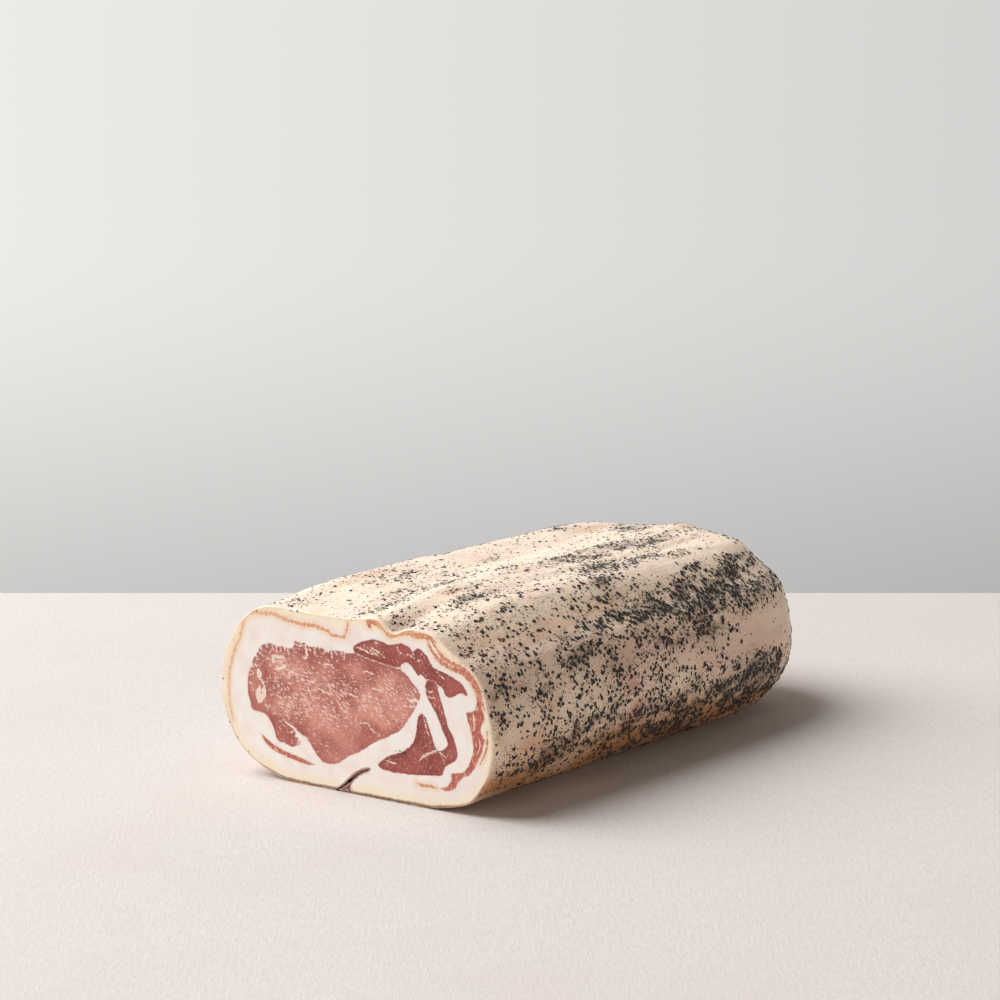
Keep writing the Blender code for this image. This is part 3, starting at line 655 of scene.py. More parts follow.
class CutFace:
    """The cut face in triangles, each told apart as fat or as one of the muscles."""

    def __init__(self, skin):
        self.boundary = skin.rim[0][1]
        plains = [plain_contour(muscle[3]) for muscle in MUSCLES]
        self.contours = []
        for number, (*_, ragged, reach) in enumerate(MUSCLES):
            others = Near(np.vstack(plains[:number] + plains[number + 1:]))
            gap = others.distance(plains[number])
            self.contours.append(ragged_contour(plains[number], gap, ragged, reach))
        loops = [self.boundary] + [c[0] for c in self.contours]
        self.counts = [len(loop) for loop in loops]
        edges_at = np.vstack(loops)
        self.white_strokes = list(WHITE_STROKES) + clefts(self.contours[0][1])
        self.lean_edge = Near(np.vstack(loops[1:]))
        self.skin_edge = Near(self.boundary[:SKIN_COUNT])
        self.divide(edges_at)
        self.describe()

    def divide(self, edges_at):
        samples = [stroke_samples(strokes, STROKE_STEP) for strokes in (RUST_STROKES, self.white_strokes)]
        stroke_points = np.vstack([part for line, _, beside in samples for part in (line, beside)])
        edge = Near(edges_at)
        keep = edge.distance(stroke_points) > STROKE_GAP
        stroke_points = stroke_points[keep & inside(stroke_points, self.boundary)]
        grid = hex_points(self.boundary.min(0), self.boundary.max(0), FACE_STEP)
        grid = grid[inside(grid, self.boundary)]
        grid = grid[edge.distance(grid) > EDGE_GAP]
        grid = grid[Near(stroke_points).distance(grid) > GRID_GAP]
        points = np.vstack((edges_at, stroke_points, grid))
        edges, start = [], 0
        for count in self.counts:
            edges += [(start + k, start + (k + 1) % count) for k in range(count)]
            start += count
        found = geometry.delaunay_2d_cdt([Vector(p) for p in points], edges, [], 0, 1e-5, True)
        self.points = np.array([tuple(v) for v in found[0]])
        triangles = np.array([f for f in found[2] if len(f) == 3])
        self.index = np.full(len(points), -1)
        for made, origins in enumerate(found[3]):
            for origin in origins:
                self.index[origin] = made
        middle = self.points[triangles].mean(axis=1)
        region = np.where(inside(middle, self.boundary), 0, -1)
        for number, (ragged, _, _) in enumerate(self.contours, start=1):
            region[inside(middle, ragged) & (region == 0)] = number
        self.triangles, self.region = triangles[region >= 0], region[region >= 0]

    def loop(self, number):
        """Vertices of the boundary (0) or of a muscle's edge, in order."""
        start = sum(self.counts[:number])
        return self.index[start:start + self.counts[number]]

    def describe(self):
        """Distances and shades that the materials read."""
        p = self.points
        y, z = p.T
        rust_line, rust_width, _ = stroke_samples(RUST_STROKES, FINE_STEP)
        white_line, white_width, _ = stroke_samples(self.white_strokes, FINE_STEP)
        between = np.sort([Near(c[0]).distance(p) for c in self.contours], axis=0)
        self.values = {
            "rust": Near(rust_line, rust_width).distance(p),
            "white": Near(white_line, white_width).distance(p),
            "border": self.lean_edge.distance(p),
            "depth": self.skin_edge.distance(p),
            "marbled": np.clip(spots(y, z, MARBLING), 0, 1),
            "deep": np.clip(spots(y, z, DEEP_RED), 0, 1),
            "near_side": np.clip(smooth(y, -22, -62) + spots(y, z, RED_RIND), 0, 1),
            "joined": smooth(between[0] + between[1], 1.6, 0.9),
            "rusty": 0.64 + 0.36 * smooth(y, 62, 24),
            # Near the table, where the cut fat takes a painted contact shadow over its brown edge
            "low": smooth(z, 7, 1),
            "seam": Near(self.boundary[SKIN_COUNT:]).distance(p),
        }


def add_object(name, data):
    obj = bpy.data.objects.new(name, data)
    bpy.context.scene.collection.objects.link(obj)
    return obj


class Shell:
    """A growing mesh: points in millimetres, faces with their material, and named values on the points."""

    def __init__(self):
        self.blocks, self.faces, self.kinds, self.values, self.size = [], [], [], {}, 0

    def add(self, points, **values):
        points = np.asarray(points, float).reshape(-1, 3)
        index = np.arange(self.size, self.size + len(points))
        self.blocks.append(points)
        self.size += len(points)
        for name, value in values.items():
            value = np.broadcast_to(np.asarray(value, float).ravel(), len(points))
            self.values.setdefault(name, []).append((index, value))
        return index

    def surface(self, faces, kind=0):
        faces = np.asarray(faces).tolist()
        self.faces += faces
        self.kinds += [kind] * len(faces)

    def band(self, near, far, kind=0):
        """Quads between two closed rings."""
        self.surface(np.stack((near, np.roll(near, -1), np.roll(far, -1), far), axis=1), kind)

    def bands(self, rings, kind=0):
        for near, far in zip(rings, rings[1:]):
            self.band(near, far, kind)

    def fan(self, ring, point):
        self.surface(np.stack((ring, np.roll(ring, -1), np.full(len(ring), point)), axis=1))

    def tunnel(self, before, ring, kind=0, **values):
        """Carries a muscle's edge back through the roll and closes it at its end."""
        rings = [before] + [self.add(place(x, *ring.T), **values) for x in MUSCLE_STATIONS]
        self.bands(rings, kind)
        self.surface([rings[-1][::-1]], kind)

    def make(self, name, materials, replaced=(), recalc=True):
        points = np.vstack(self.blocks) * MM
        mesh = bpy.data.meshes.new(name)
        mesh.from_pydata(points.tolist(), [], self.faces)
        for material in materials:
            mesh.materials.append(material)
        mesh.polygons.foreach_set("material_index", self.kinds)
        for key, parts in self.values.items():
            column = np.zeros(self.size, np.float32)
            for index, value in parts:
                column[index] = value
            mesh.attributes.new(key, "FLOAT", "POINT").data.foreach_set("value", column)
        if recalc:
            bm = bmesh.new()
            bm.from_mesh(mesh)
            bmesh.ops.recalc_face_normals(bm, faces=bm.faces)
            bm.to_mesh(mesh)
            bm.free()
            mesh.shade_smooth()
            mesh.set_sharp_from_angle(angle=SHARP_ANGLE)
        obj = add_object(name, mesh)
        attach(obj, "root")
        if replaced:
            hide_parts(*replaced)
        return obj


def add_cut(shell, face, used, sunk_by):
    """Points of the cut face with their values: not quite flat, and the lean has dried back a little."""
    p = face.points
    away = np.minimum(face.values["border"], face.values["depth"])
    sunk = layered(p, CUT_WAVES) + sunk_by
    sunk = np.maximum(sunk, -0.1) * smooth(away, 0, 1.6)
    return shell.add(place(sunk, *p.T)[used], **{key: value[used] for key, value in face.values.items()})


def make_fat_body(skin, face, materials):
    """Skin, rounded rim, the fat of the cut face and the pockets that the muscles fill."""
    shell = Shell()
    rings = []
    for x, ring in skin.rim:
        rings.append(shell.add(place(x, *ring.T), chart_x=x, chart_s=skin.s, skin=1.0))
    for x, row in zip(skin.x, skin.points):
        rings.append(shell.add(row, chart_x=x, chart_s=skin.s, skin=1.0))
    shell.bands(rings)
    tip = shell.add(place(LENGTH, 0.0, END_CENTRE_HEIGHT), chart_x=LENGTH, chart_s=GIRTH / 2, skin=1.0)
    shell.fan(rings[-1], tip[0])

    triangles = face.triangles[face.region == 0]
    lookup = np.full(len(face.points), -1)
    boundary = face.loop(0)
    lookup[boundary] = rings[0]
    for key, value in face.values.items():
        shell.values.setdefault(key, []).append((rings[0], value[boundary]))
    used = np.unique(triangles)
    fresh = used[lookup[used] < 0]
    lookup[fresh] = add_cut(shell, face, fresh, 0.0)
    shell.surface(lookup[triangles], kind=1)

    for number, (_, plain, normal) in enumerate(face.contours, start=1):
        wider = plain + normal * POCKET_GAP
        rim = lookup[face.loop(number)]
        shell.tunnel(rim, wider, kind=1, depth=8.0, rust=FAR, border=2.0, white=FAR, seam=FAR)
    return shell.make("fat_body", materials, ("fat_roll",))


def make_lean(face, number, finishes):
    """One muscle: its ragged cut face, and its sides running back inside the fat."""
    node, piece, slot = MUSCLES[number - 1][:3]
    shell = Shell()
    triangles = face.triangles[face.region == number]
    used = np.unique(triangles)
    lookup = np.full(len(face.points), -1)
    lookup[used] = add_cut(shell, face, used, LEAN_SUNK)
    shell.surface(lookup[triangles])
    _, plain, normal = face.contours[number - 1]
    shell.tunnel(lookup[face.loop(number)], plain - normal * MUSCLE_GAP, border=3.0, white=FAR)
    return shell.make(piece, [finishes[slot]], (node,))


def make_seam_paste(skin, material):
    """The dark paste of pepper and dried fat that fills the seam."""
    shell = Shell()
    slot = skin.slot
    base = np.linspace(slot[-1], slot[0], PASTE_BASE_COUNT + 2)[1:-1]
    ring = clockwise(np.vstack((slot, base)))
    ring = ring - outward(ring) * PASTE_GAP
    ring[:, 1] = np.maximum(ring[:, 1], PASTE_FLOOR)
    rings = []
    for x in PASTE_STATIONS:
        inset = 0.0 if rings else PASTE_BEVEL
        section = ring - outward(ring) * inset
        section[:, 1] = np.maximum(section[:, 1], PASTE_FLOOR)
        rings.append(shell.add(place(x, *section.T), tip=section[:, 1]))
    shell.bands(rings)
    shell.surface([rings[0]])
    shell.surface([rings[-1][::-1]])
    return shell.make("seam_paste", [material])


# Cracked pepper

def pepper_density(x, s):
    """Grains of cracked pepper on a square millimetre of the skin."""
    chart = np.stack(np.broadcast_arrays(x, s), axis=-1).astype(float)
    along = chart[..., 0] + layered(chart, PEPPER_DRIFT_ALONG)
    across = chart[..., 1] + layered(chart, PEPPER_DRIFT_ACROSS)
    amount = PEPPER_BASE + spots(along, across, PEPPER_PATCHES)
    clumps = layered(chart, PEPPER_CLUMPS, start=1)
    return np.maximum(amount, LEAST_PEPPER) * np.maximum(clumps, LEAST_CLUMP)


class Scatter:
    """Draws places on the skin, thicker where a density is higher."""

    def __init__(self, skin, seed):
        self.random = np.random.default_rng(seed)
        columns = slice(0, SKIN_COUNT - 1)
        p = skin.points
        self.corners = [p[:-1, columns], p[1:, columns], p[:-1, 1:SKIN_COUNT], p[1:, 1:SKIN_COUNT]]
        across = np.cross(self.corners[3] - self.corners[0], self.corners[2] - self.corners[1])
        self.area = 0.5 * np.linalg.norm(across, axis=-1)
        self.normal = across / np.maximum(2 * self.area[..., None], 1e-9)
        self.x = 0.5 * (skin.x[:-1] + skin.x[1:])[:, None]
        self.s = 0.5 * (skin.s[:SKIN_COUNT - 1] + skin.s[1:SKIN_COUNT])[None, :]

    def draw(self, density):
        """As many places as the density, in grains on a square millimetre, asks for."""
        chance = (self.area * density).ravel()
        count = int(chance.sum())
        cells = self.random.choice(chance.size, size=count, p=chance / chance.sum())
        row, column = np.unravel_index(cells, self.area.shape)
        u, v = self.random.random((2, count, 1))
        a, b, c, d = (corner[row, column] for corner in self.corners)
        points = (1 - u) * (1 - v) * a + u * (1 - v) * b + (1 - u) * v * c + u * v * d
        return points, self.normal[row, column], self.s[0, column]


def chip_shape(sides):
    """A rough closed grain one unit across, as points and triangles."""
    if sides == 20:
        bm = bmesh.new()
        bmesh.ops.create_icosphere(bm, subdivisions=1, radius=0.5)
        points = np.array([v.co for v in bm.verts])
        faces = np.array([[v.index for v in f.verts] for f in bm.faces])
        bm.free()
        return points, faces
    points = 0.5 * np.array([(1, 0, 0), (-1, 0, 0), (0, 1, 0), (0, -1, 0), (0, 0, 1), (0, 0, -1)], float)
    round_way = ((0, 2), (2, 1), (1, 3), (3, 0))
    faces = np.array([(a, b, 4) for a, b in round_way] + [(b, a, 5) for a, b in round_way])
    return points, faces


def make_pepper(name, random, points, normal, sizes, sides, material, flatness, sunk):
    """Flakes of one kind, joined into one mesh, each turned, flattened and broken in its own way."""
    count = len(points)
    shape, faces = chip_shape(sides)
    grains = shape[None] * random.uniform(*FLAKE_BREAKAGE, (count, len(shape), 1))
    widths = random.uniform(*FLAKE_WIDTH, count)
    lengths = np.stack((np.ones(count), widths, random.uniform(*flatness, count)), axis=1)
    grains = grains * (lengths * sizes[:, None])[:, None, :]
    turn = random.uniform(0, 2 * math.pi, count)
    tilt = random.normal(0, FLAKE_TILT, (2, count))
    helper = np.where(np.abs(normal[:, :1]) < 0.9, (1.0, 0, 0), (0, 1.0, 0))
    first = unit(np.cross(normal, helper))
    second = np.cross(normal, first)
    axis_a = first * np.cos(turn)[:, None] + second * np.sin(turn)[:, None]
    up = unit(normal + first * tilt[0][:, None] + second * tilt[1][:, None])
    axis_a = unit(axis_a - up * np.sum(axis_a * up, axis=1, keepdims=True))
    axis_b = np.cross(up, axis_a)
    axes = np.stack((axis_a, axis_b, up), axis=1)
    turned = sum(grains[..., k:k + 1] * axes[:, k][:, None] for k in range(3))
    lift = (0.5 - sunk) * lengths[:, 2] * sizes
    turned = turned + (points + normal * lift[:, None])[:, None]
    turned[..., 2] = np.maximum(turned[..., 2], GRAIN_FLOOR)
    shell = Shell()
    index = shell.add(turned, tone=np.repeat(random.random(count), len(shape))).reshape(count, -1)
    shell.surface(index[:, faces].reshape(-1, 3))
    return shell.make(name, [material], recalc=False)


def scatter_pepper(skin, black, brown):
    scatter = Scatter(skin, PEPPER_SEED)
    density = pepper_density(scatter.x, scatter.s)
    specks = place(0.0, *np.array(FACE_SPECKS).T)
    for kind, material in zip(PEPPER_KINDS, (black, black, brown)):
        name, share, power, least, spread, rarity, sides, flatness, sunk = kind
        points, normal, s = scatter.draw(share * density ** power)
        if name == "pepper_fine":
            points = np.vstack((points, specks))
            normal = np.vstack((normal, np.tile((-1.0, 0, 0), (len(specks), 1))))
        sizes = least + spread * scatter.random.random(len(points)) ** rarity
        if name == "pepper_fine":
            sizes[-len(specks):] += SPECK_EXTRA
        if name == "pepper_coarse":
            sizes *= 1 - TOP_FINENESS * smooth(s, *TOP_NEAR) * smooth(s, *TOP_FAR)
        make_pepper(name, scatter.random, points, normal, sizes, sides, material, flatness, sunk)


# Materials

GLOW_RADIUS = (1.0, 0.45, 0.3)
GLOW_DEPTH = 0.0022


def tone(red, green, blue):
    """A display colour, 0 to 255, as linear values."""
    def linear(value):
        value /= 255
        return value / 12.92 if value <= 0.04045 else ((value + 0.055) / 1.055) ** 2.4
    return (linear(red), linear(green), linear(blue), 1.0)


class Paint:
    """A material built from nodes by short calls. A value is a number, a colour or a node's output."""

    def __init__(self, name, roughness=0.5, specular=0.5, subsurface=0.0):
        self.material = bpy.data.materials.new(name)
        self.material.use_nodes = True
        self.nodes, self.links = self.material.node_tree.nodes, self.material.node_tree.links
        self.shader = self.nodes["Principled BSDF"]
        self.colour = None
        self.fill(self.shader, {"Roughness": roughness, "Specular IOR Level": specular})
        if subsurface:
            glow = {"Weight": subsurface, "Radius": GLOW_RADIUS, "Scale": GLOW_DEPTH}
            self.fill(self.shader, {"Subsurface " + key: value for key, value in glow.items()})

    def fill(self, node, values):
        """Gives a node's inputs their numbers, colours or other nodes' outputs."""
        for key, value in values.items():
            if isinstance(value, bpy.types.NodeSocket):
                self.links.new(value, node.inputs[key])
            else:
                node.inputs[key].default_value = value

    def node(self, kind, output, values, **settings):
        """The output of a new node with these settings and inputs."""
        node = self.nodes.new("ShaderNode" + kind)
        for key, value in settings.items():
            setattr(node, key, value)
        self.fill(node, values)
        return node.outputs[output]

    def attribute(self, name):
        return self.node("Attribute", "Fac", {}, attribute_name=name)

    def coordinates(self, size, turn):
        """Object coordinates, turned and then counted in steps of this size in millimetres."""
        values = {"Vector": self.node("TexCoord", "Object", {}), "Rotation": turn}
        values["Scale"] = [MM * k for k in size]
        return self.node("Mapping", "Vector", values, vector_type="TEXTURE")

    def noise(self, size, detail=2.0, rough=0.5, distortion=0.0, turn=(0, 0, 0)):
        """Noise from 0 to 1, its blobs of about this size in millimetres."""
        values = {"Vector": self.coordinates(size, turn), "Scale": 1.0}
        values.update({"Detail": detail, "Roughness": rough, "Distortion": distortion})
        return self.node("TexNoise", "Fac", values)

    def cells(self, size, turn):
        """Distance from the nearest of many scattered points, in cells of this size in millimetres."""
        return self.node("TexVoronoi", "Distance", {"Vector": self.coordinates(size, turn), "Scale": 1.0})

    def math(self, operation, *values):
        return self.node("Math", 0, dict(enumerate(values)), operation=operation)

    def step(self, value, low, high, top=1.0):
        """Eases from 0 to top as the value goes from low to high."""
        values = {"Value": value, "From Min": low, "From Max": high, "To Min": 0.0, "To Max": top}
        return self.node("MapRange", 0, values, interpolation_type="SMOOTHSTEP")

    def fall(self, value, low, high, top=1.0):
        """Eases from top to 0 as the value goes from low to high."""
        return self.math("SUBTRACT", top, self.step(value, low, high, top))

    def line(self, value, slope, start):
        return self.math("MULTIPLY_ADD", value, slope, start)

    def near(self, name, wobble, low, high, top=1.0):
        """1 close to the lines that an attribute tells the distance of, with a wavy edge."""
        return self.fall(self.plus(self.attribute(name), wobble), low, high, top)

    def plus(self, first, second):
        return self.math("ADD", first, second)

    def times(self, first, second):
        return self.math("MULTIPLY", first, second)

    def mix(self, share, first, second):
        return self.node("Mix", "Result", {"Factor": share, "A": first, "B": second}, data_type="RGBA")

    def coat(self, share, colour):
        """Lays a colour over what is there, by this share."""
        self.colour = self.mix(share, self.colour, colour)

    def bump(self, height, depth, before=None):
        """Relief of this depth in millimetres, for heights from 0 to 1."""
        values = {"Strength": 1.0, "Distance": depth * MM, "Height": height}
        return self.node("Bump", "Normal", values if before is None else {**values, "Normal": before})

    def finish(self, normal, roughness=None):
        self.fill(self.shader, {"Base Color": self.colour, "Normal": normal})
        if roughness is not None:
            self.fill(self.shader, {"Roughness": roughness})
        return self.material


def skin_material():
    """Dried fat under a dusting of pepper: cream to tan, hazed grey where the pepper lies thick, and darker
    brown with painted shade towards the bottom.
    """
    paint = Paint("peppered_skin", specular=0.35, subsurface=0.15)
    broad = paint.noise((30, 12, 12), 3)
    patchy = paint.noise((12, 6, 6), 4, 0.6)
    grain = paint.noise((1.6, 1.1, 1.1), 3, 0.65)
    paint.colour = paint.mix(paint.step(broad, 0.36, 0.66), tone(245, 229, 208), tone(241, 218, 202))
    paint.coat(paint.step(patchy, 0.50, 0.72, 0.42), tone(232, 195, 156))
    # Orange-brown towards the bottom of the roll: partly the fat's own browning, partly painted shade on
    # the underside.
    browned_and_shaded = paint.times(paint.attribute("amber_and_shade"), paint.step(patchy, 0.20, 0.52))
    paint.coat(browned_and_shaded, tone(206, 146, 92))
    paint.coat(paint.attribute("pink"), tone(226, 186, 176))
    paint.coat(paint.attribute("stain"), tone(204, 132, 74))
    paint.coat(paint.attribute("blood"), tone(184, 104, 88))
    haze = paint.times(paint.attribute("haze"), paint.step(grain, 0.20, 0.55))
    paint.coat(haze, tone(94, 82, 74))
    # Dark brown low on the skin, stronger further along the roll: brown staining and painted shade.
    grime_and_shade = paint.times(paint.attribute("grime_and_shade"), paint.step(grain, 0.10, 0.45))
    paint.coat(grime_and_shade, tone(126, 80, 46))
    specks = paint.noise((0.9, 0.6, 0.6), 2)
    dust = paint.times(paint.step(specks, 0.58, 0.68), paint.attribute("dust"))
    paint.coat(paint.times(dust, 0.8), tone(92, 68, 54))
    normal = paint.bump(paint.noise((3.2, 1.6, 1.6), 3), 0.35)
    normal = paint.bump(grain, 0.16, normal)
    rough = paint.line(patchy, 0.30, 0.36)
    return paint.finish(normal, rough)


def cut_fat_material():
    """Fresh-cut fat: pinkish white inside, creamy outside the orange line of the old skin side."""
    paint = Paint("cut_fat", roughness=0.38, specular=0.45, subsurface=0.22)
    ripple = paint.noise((4, 1.4, 1.4), 4, 0.65)
    cloud = paint.noise((9, 7, 7), 3)
    paint.colour = paint.mix(paint.step(cloud, 0.35, 0.7), tone(250, 243, 237), tone(248, 233, 226))
    near_lean = paint.fall(paint.attribute("border"), 0.0, 1.0, 0.35)
    paint.coat(near_lean, tone(240, 204, 194))
    joined = paint.times(paint.attribute("joined"), paint.step(ripple, 0.40, 0.56))
    paint.coat(joined, tone(186, 112, 102))
    outer = paint.near("depth", paint.times(cloud, 7.0), 4.0, 10.0)
    paint.coat(outer, tone(250, 236, 212))
    wobble = paint.line(ripple, 2.0, -1.0)
    line = paint.plus(paint.attribute("rust"), wobble)
    orange = paint.mix(paint.step(ripple, 0.4, 0.62), tone(214, 144, 90), tone(236, 186, 140))
    brown = paint.mix(paint.step(ripple, 0.4, 0.62), tone(184, 98, 76), tone(218, 150, 124))
    rust = paint.mix(paint.attribute("near_side"), orange, brown)
    paint.coat(paint.fall(line, 0.0, 3.0, 0.42), tone(240, 202, 166))
    strength = paint.times(paint.attribute("rusty"), paint.fall(line, -0.30, 0.42, 0.95))
    paint.coat(strength, rust)
    skin_line = paint.near("depth", paint.times(wobble, 0.5), 0.1, 0.8, 0.5)
    paint.coat(skin_line, tone(222, 194, 156))
    lip = paint.near("seam", paint.times(wobble, 0.6), 0.3, 1.3, 0.92)
    paint.coat(lip, tone(150, 98, 90))
    # Dark brown line along the bottom edge of the cut, by the table: a brown crust and painted contact
    # shadow.
    under = paint.times(paint.attribute("low"), paint.near("depth", wobble, 0.2, 1.5, 0.92))
    paint.coat(under, tone(118, 76, 54))
    normal = paint.bump(ripple, 0.10)
    normal = paint.bump(paint.noise((0.8, 0.8, 0.8), 2), 0.04, normal)
    return paint.finish(normal)


# The lean's colours, dark, light and flecks, and the way its fibres lean
EYE_TONES = (tone(168, 88, 79), tone(216, 145, 130), tone(248, 218, 204))
EYE_GRAIN = (math.radians(24), 0, 0)
FLANK_TONES = (tone(139, 61, 55), tone(177, 92, 82), tone(230, 180, 166))
FLANK_GRAIN = (math.radians(74), 0, 0)


def lean_material(name, dark, light, fleck, turn):
    """Cured lean: red, with pale fat in flecks along its fibres, thickest where the cut is marbled."""
    paint = Paint(name, roughness=0.40, specular=0.5, subsurface=0.14)
    cloud = paint.noise((18, 14, 11), 3)
    fibres = paint.noise((3.0, 2.8, 0.7), 3, 0.6, 0.3, turn=turn)
    border = paint.attribute("border")
    paint.colour = paint.mix(paint.step(cloud, 0.34, 0.66), dark, light)
    paint.coat(paint.fall(border, 0.3, 3.6, 0.45), dark)
    paint.coat(paint.step(fibres, 0.42, 0.68, 0.30), light)
    paint.coat(paint.attribute("deep"), dark)
    crowd = paint.noise((9, 8, 6), 2)
    uneven = paint.noise((1.2, 1.1, 0.8), 2)
    reach = paint.line(crowd, 0.46, 0.03)
    reach = paint.line(paint.attribute("marbled"), 0.16, reach)
    reach = paint.line(uneven, -0.30, reach)
    dashes = paint.cells((2.9, 3.3, 0.86), turn)
    marks = paint.fall(paint.math("SUBTRACT", dashes, reach), 0.0, 0.10)
    dots = paint.cells((1.3, 1.2, 0.6), turn)
    near_dots = paint.math("SUBTRACT", dots, paint.plus(reach, 0.10))
    marks = paint.math("MAXIMUM", marks, paint.fall(near_dots, -0.05, 0.06, 0.5))
    paint.coat(paint.times(marks, paint.step(border, 0.2, 1.4, 0.92)), fleck)
    wobble = paint.line(paint.noise((1.5, 0.9, 0.9), 3), 2.6, -1.25)
    streaks = paint.near("white", wobble, -0.2, 0.22)
    paint.coat(paint.times(streaks, 0.93), tone(246, 226, 214))
    soft = paint.near("border", wobble, -0.1, 0.35, 0.4)
    paint.coat(soft, tone(228, 176, 162))
    height = paint.plus(fibres, paint.times(marks, 0.5))
    normal = paint.bump(height, 0.14)
    return paint.finish(normal, paint.line(fibres, 0.25, 0.27))


def streak_material():
    """Thin streaks of lean, feathered into the fat."""
    paint = Paint("streak_lean", roughness=0.42, specular=0.45, subsurface=0.16)
    strands = paint.noise((3, 0.9, 2.4), 4, 0.65, 0.5)
    paint.colour = paint.mix(paint.step(strands, 0.35, 0.62), tone(172, 84, 74), tone(204, 124, 102))
    paint.coat(paint.step(strands, 0.57, 0.66, 0.75), tone(243, 212, 190))
    wobble = paint.line(strands, -1.4, 0.7)
    gaps = paint.near("white", wobble, -0.15, 0.3, 0.9)
    paint.coat(gaps, tone(246, 222, 202))
    edge = paint.near("border", wobble, 0.0, 0.6, 0.5)
    paint.coat(edge, tone(234, 184, 154))
    return paint.finish(paint.bump(strands, 0.12))


def pepper_material(name, dark, light, rough):
    paint = Paint(name, roughness=rough, specular=0.4)
    shade = paint.attribute("tone")
    mottle = paint.noise((0.5, 0.5, 0.5), 2)
    paint.colour = paint.mix(paint.times(shade, mottle), dark, light)
    return paint.finish(paint.bump(mottle, 0.08))


def paste_material():
    """Pepper and dried fat in the seam, speckled at its mouth and reddish brown at its tip."""
    paint = Paint("seam_paste", roughness=0.6, specular=0.4)
    mottle = paint.noise((0.9, 0.9, 0.9), 3, 0.6)
    deep = paint.step(paint.attribute("tip"), 3.5, 8.5)
    paint.colour = paint.mix(deep, tone(140, 98, 94), tone(186, 122, 104))
    paint.coat(paint.step(mottle, 0.52, 0.62, 0.8), tone(214, 190, 176))
    paint.coat(paint.fall(mottle, 0.36, 0.44, 0.8), tone(70, 48, 44))
    return paint.finish(paint.bump(mottle, 0.3))


def add_skin_values(obj):
    """Values that the skin's material reads, from each point's place on the chart."""
    mesh = obj.data
    count = len(mesh.vertices)
    x, s, on_skin = (np.zeros(count, np.float32) for _ in range(3))
    for key, column in (("chart_x", x), ("chart_s", s), ("skin", on_skin)):
        mesh.attributes[key].data.foreach_get("value", column)
    chart = np.stack((x, s), axis=-1)
    density = pepper_density(x, s)
    haze = smooth(density, *HAZE_FROM) * 0.60 * (1 + 0.4 * noise(chart, (18, 7), 61)) + spots(x, s, HAZE)
    low = np.maximum(smooth(s, *NEAR_BOTTOM), smooth(GIRTH - s, *FAR_BOTTOM))
    # Dark brown low on the skin, stronger further along the roll: brown staining and painted shade.
    grime_and_shade = smooth(s + 5 * noise(chart, (22, 9), 63), *GRIME_AND_SHADE_TOP) * (0.40 + 0.50 * smooth(x, *GRIME_AND_SHADE_ALONG))
    tail = smooth(x, *TAIL)
    # Orange-brown tint low down on the skin: partly real browning, partly painted shade where the skin
    # turns under.
    amber_and_shade = np.clip(low * (0.75 + 0.5 * noise(chart, (20, 7), 62)), 0, 0.9) * (0.3 + 0.7 * tail)
    values = {
        "haze": haze, "amber_and_shade": amber_and_shade, "grime_and_shade": grime_and_shade * tail, "pink": spots(x, s, PINK),
        "stain": spots(x, s, STAINS), "blood": spots(x, s, BLOOD),
        "dust": 0.35 + 0.65 * smooth(density, *DUST_FROM),
    }
    for key, column in values.items():
        column = np.clip(column, 0, 1) * on_skin
        mesh.attributes.new(key, "FLOAT", "POINT").data.foreach_set("value", column.astype(np.float32))


# Table, light and camera

CAMERA_PLACE = Vector((-1.2037, -0.8620, 0.3607))
CAMERA_LENS = 113.1
SENSOR = 36.0
CAMERA_PITCH = math.radians(9.504)
CAMERA_HEADING = math.radians(36.5)
FORWARD = Vector((math.cos(CAMERA_HEADING), math.sin(CAMERA_HEADING), 0))
LEFTWARD = Vector((-math.sin(CAMERA_HEADING), math.cos(CAMERA_HEADING), 0))
UP = Vector((0, 0, 1))
TABLE_FRONT = -0.9
TABLE_BACK = 1.8217
TABLE_HALF_WIDTH = 1.6
TABLE_THICKNESS = 0.04
WALL_AHEAD = TABLE_BACK + 2.0
WALL_HALF_WIDTH = 2.6
WALL_LOW = -1.4
WALL_HIGH = 2.4
WALL_FADE = 0.7
# Colour of the backdrop's painted glow
WALL_GLOW_COLOUR = (1.0, 0.985, 0.965, 1.0)
LIGHT_TARGET = Vector((-0.06, 0.0, 0.03))
# The lamps: (name, its direction in shares of leftward, forward and up, distance, size, power, colour)
LAMPS = (
    ("key", (0.66, 0.22, 0.76), 4.0, 4.3, 288.0, (1.0, 0.995, 0.985)),
    ("fill", (-0.78, -0.52, 0.20), 2.4, 1.8, 17.0, (1.0, 0.86, 0.71)),
    ("front", (0.5, -0.8, 0.3), 2.2, 1.4, 9.0, (1.0, 0.95, 0.90)),
)
SKY_STRENGTH = 0.03
SKY_COLOUR = (1.0, 0.76, 0.60, 1.0)


def add_camera():
    data = bpy.data.cameras.new("camera")
    data.lens = CAMERA_LENS
    data.sensor_width = SENSOR
    camera = add_object("camera", data)
    camera.location = CAMERA_PLACE
    camera.rotation_euler = (math.pi / 2 - CAMERA_PITCH, 0, CAMERA_HEADING - math.pi / 2)
    bpy.context.scene.camera = camera


def on_ground(forward, leftward, height=0.0):
    """A point this far ahead of the camera and to its left, at a height above the table."""
    start = Vector((CAMERA_PLACE.x, CAMERA_PLACE.y, 0))
    return start + FORWARD * forward + LEFTWARD * leftward + UP * height


def stage_mesh(name, points, faces, material):
    mesh = bpy.data.meshes.new(name)
    mesh.from_pydata(points, [], faces)
    mesh.materials.append(material)
    add_object(name, mesh)


